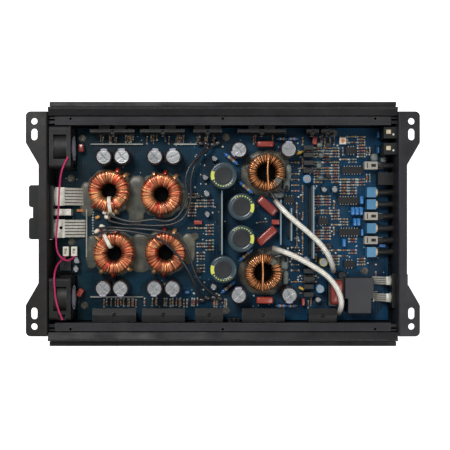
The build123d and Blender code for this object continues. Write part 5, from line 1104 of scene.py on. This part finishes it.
# white blobs over the joints of winding and wire: centre, size, turn
WHITE_BLOBS = [
    ((-110.4, 7.2, 34.0), (6.2, 5.0, 5.4), 20), ((-114.6, -2.9, 38.4), (6.4, 4.6, 5.0), -30),
    ((-112.5, 10.9, 37.0), (4.6, 4.0, 4.2), 0), ((-119.5, -7.0, 41.4), (5.6, 4.0, 4.4), 40),
]
blobs = [copies(pillow(size, 0.8, 12, 18), [place], turn) for place, size, turn in WHITE_BLOBS]
piece("wax_blobs", join(*blobs), NYLON)

# ---------------------------------------------------------------- loose leads


def lead_curve(name, points):
    """The smooth line of a lead: a NURBS spline with the route's points as its control points."""
    curve = bpy.data.curves.new(name, "CURVE")
    curve.dimensions = "3D"
    spline = curve.splines.new("NURBS")
    spline.points.add(len(points) - 1)
    spline.points.foreach_set("co", np.column_stack([np.array(points) * MM, np.ones(len(points))]).ravel())
    spline.order_u = 3
    spline.use_endpoint_u = True
    curve.resolution_u = 12
    made = bpy.data.objects.new(name, curve)
    bpy.context.scene.collection.objects.link(made)
    return made


def round_lead(name, diameter, points, material):
    """A round insulated lead on its spline."""
    made = lead_curve(name + "_run", points)
    made.data.bevel_depth = diameter / 2 * MM
    made.data.bevel_resolution = 4
    made.data.use_fill_caps = True
    made.data.materials.append(material)
    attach(made, BODY)
    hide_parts(name)


CABLE_SIDES = 48


def twisted_cable(name, diameter, points, strands=7, twists=1.6):
    """Strands laid round each other as one lobed skin carried along the spline: its radius is
    R * (0.88 + 0.12 * |cos(n (a - turn) / 2)|), and turn grows evenly along the cable."""
    line = lead_curve(name + "_line", points)
    mesh = bpy.data.meshes.new_from_object(line)
    path = np.zeros(len(mesh.vertices) * 3)
    mesh.vertices.foreach_get("co", path)
    bpy.data.objects.remove(line)
    path = path.reshape(-1, 3) / MM
    travelled = np.concatenate([[0], np.cumsum(np.linalg.norm(np.diff(path, axis=0), axis=1))])
    turn = (travelled / travelled[-1] * twists * 2 * math.pi)[:, None]
    angle = np.linspace(0, 2 * math.pi, CABLE_SIDES, endpoint=False)[None]
    lobe = np.abs(np.cos(strands * (angle - turn) / 2))
    radius = diameter / 2 * (0.88 + 0.12 * lobe)
    section = np.stack([radius * np.cos(angle), radius * np.sin(angle)], axis=2)[None]
    shape = carry(path, section, (0.6, 0.8, 0.0))
    # the strand value follows the lobes: painted highlight on the strands' crowns, painted shade in the lays
    # between them
    tone = np.concatenate([np.full(CABLE_SIDES, 0.5), lobe.ravel(), np.full(CABLE_SIDES, 0.5)])
    share = np.repeat(np.concatenate([[0], travelled / travelled[-1], [1]]), CABLE_SIDES)
    soil = np.clip(1 - np.minimum(share, 1 - share) / 0.12, 0, 1)
    made = piece(name + "_strands", shape, CABLE_STRANDS, [name],
                 values={"strand": tone, "soil": soil}, sharp=80.0)


def cable_strands():
    """Bare stranded cable with a painted highlight on the crowns and painted shade in the lays, browned by
    flux at its ends.
    """
    material, tree, shader = start_material("cable_strands", metallic=0.15, coat=0.25)
    lay = add(tree, "Group", {"Dark": 0.55}, node_tree=STRANDS).outputs
    soil = add(tree, "Attribute", attribute_name="soil").outputs["Fac"]
    tone = mix(tree, soil, colour("#f6f2e6"), colour("#7a6f64"))
    tone = add(tree, "VectorMath", {0: tone, 1: lay["Tone"]}, operation="MULTIPLY").outputs[0]
    wire_up(tree, shader, tone, fit(tree, lay["Tone"], 0.3, 1.0, 0.55, 0.34), lay["Height"], 0.00003)
    return material


CABLE_STRANDS = cable_strands()
for lead_name, (diameter, length, points) in FREE_LEADS.items():
    if lead_name.startswith("output"):
        twisted_cable(lead_name, diameter, points)
    elif lead_name.startswith("fan"):
        round_lead(lead_name, diameter, points, LEAD_RED)
    else:
        round_lead(lead_name, diameter, points, WIRE_BLACK)

# ---------------------------------------------------------------- floor, light and camera

# metres from here on
FLOOR_HALF, FLOOR_Z = 6.0, -0.0002
corners = [(x * FLOOR_HALF, y * FLOOR_HALF, FLOOR_Z) for x, y in ((-1, -1), (1, -1), (1, 1), (-1, 1))]
floor_mesh = bpy.data.meshes.new("floor")
floor_mesh.from_pydata(corners, [], [(0, 1, 2, 3)])
floor_material, _, floor_shader = start_material("pale_floor", specular=0.0)
floor_shader.inputs["Base Color"].default_value = (0.93, 0.93, 0.93, 1)
floor_shader.inputs["Roughness"].default_value = 0.9
floor_shader.inputs["Emission Color"].default_value = (1.0, 1.0, 1.0, 1)
floor_shader.inputs["Emission Strength"].default_value = 0.8
floor_mesh.materials.append(floor_material)
floor = bpy.data.objects.new("floor", floor_mesh)
bpy.context.scene.collection.objects.link(floor)

world = bpy.data.worlds.new("studio")
world.use_nodes = True
world.node_tree.nodes["Background"].inputs["Color"].default_value = (1.0, 1.0, 1.0, 1)
world.node_tree.nodes["Background"].inputs["Strength"].default_value = 0.38
bpy.context.scene.world = world


def soft_light(name, place, size, power):
    """A square soft light aimed at the object."""
    lamp = bpy.data.lights.new(name, "AREA")
    lamp.size = size
    lamp.energy = power
    made = bpy.data.objects.new(name, lamp)
    made.location = place
    made.rotation_euler = (-made.location).to_track_quat("-Z", "Y").to_euler()
    bpy.context.scene.collection.objects.link(made)


soft_light("key", (-0.35, 0.55, 1.3), 0.45, 12.0)
soft_light("fill", (0.55, -0.35, 1.3), 0.7, 5.0)

view = bpy.data.cameras.new("camera")
view.lens = 70.8
camera = bpy.data.objects.new("camera", view)
camera.location = (0.002, -0.001, 0.880)
bpy.context.scene.collection.objects.link(camera)
bpy.context.scene.camera = camera
bpy.context.scene.view_settings.view_transform = "Standard"
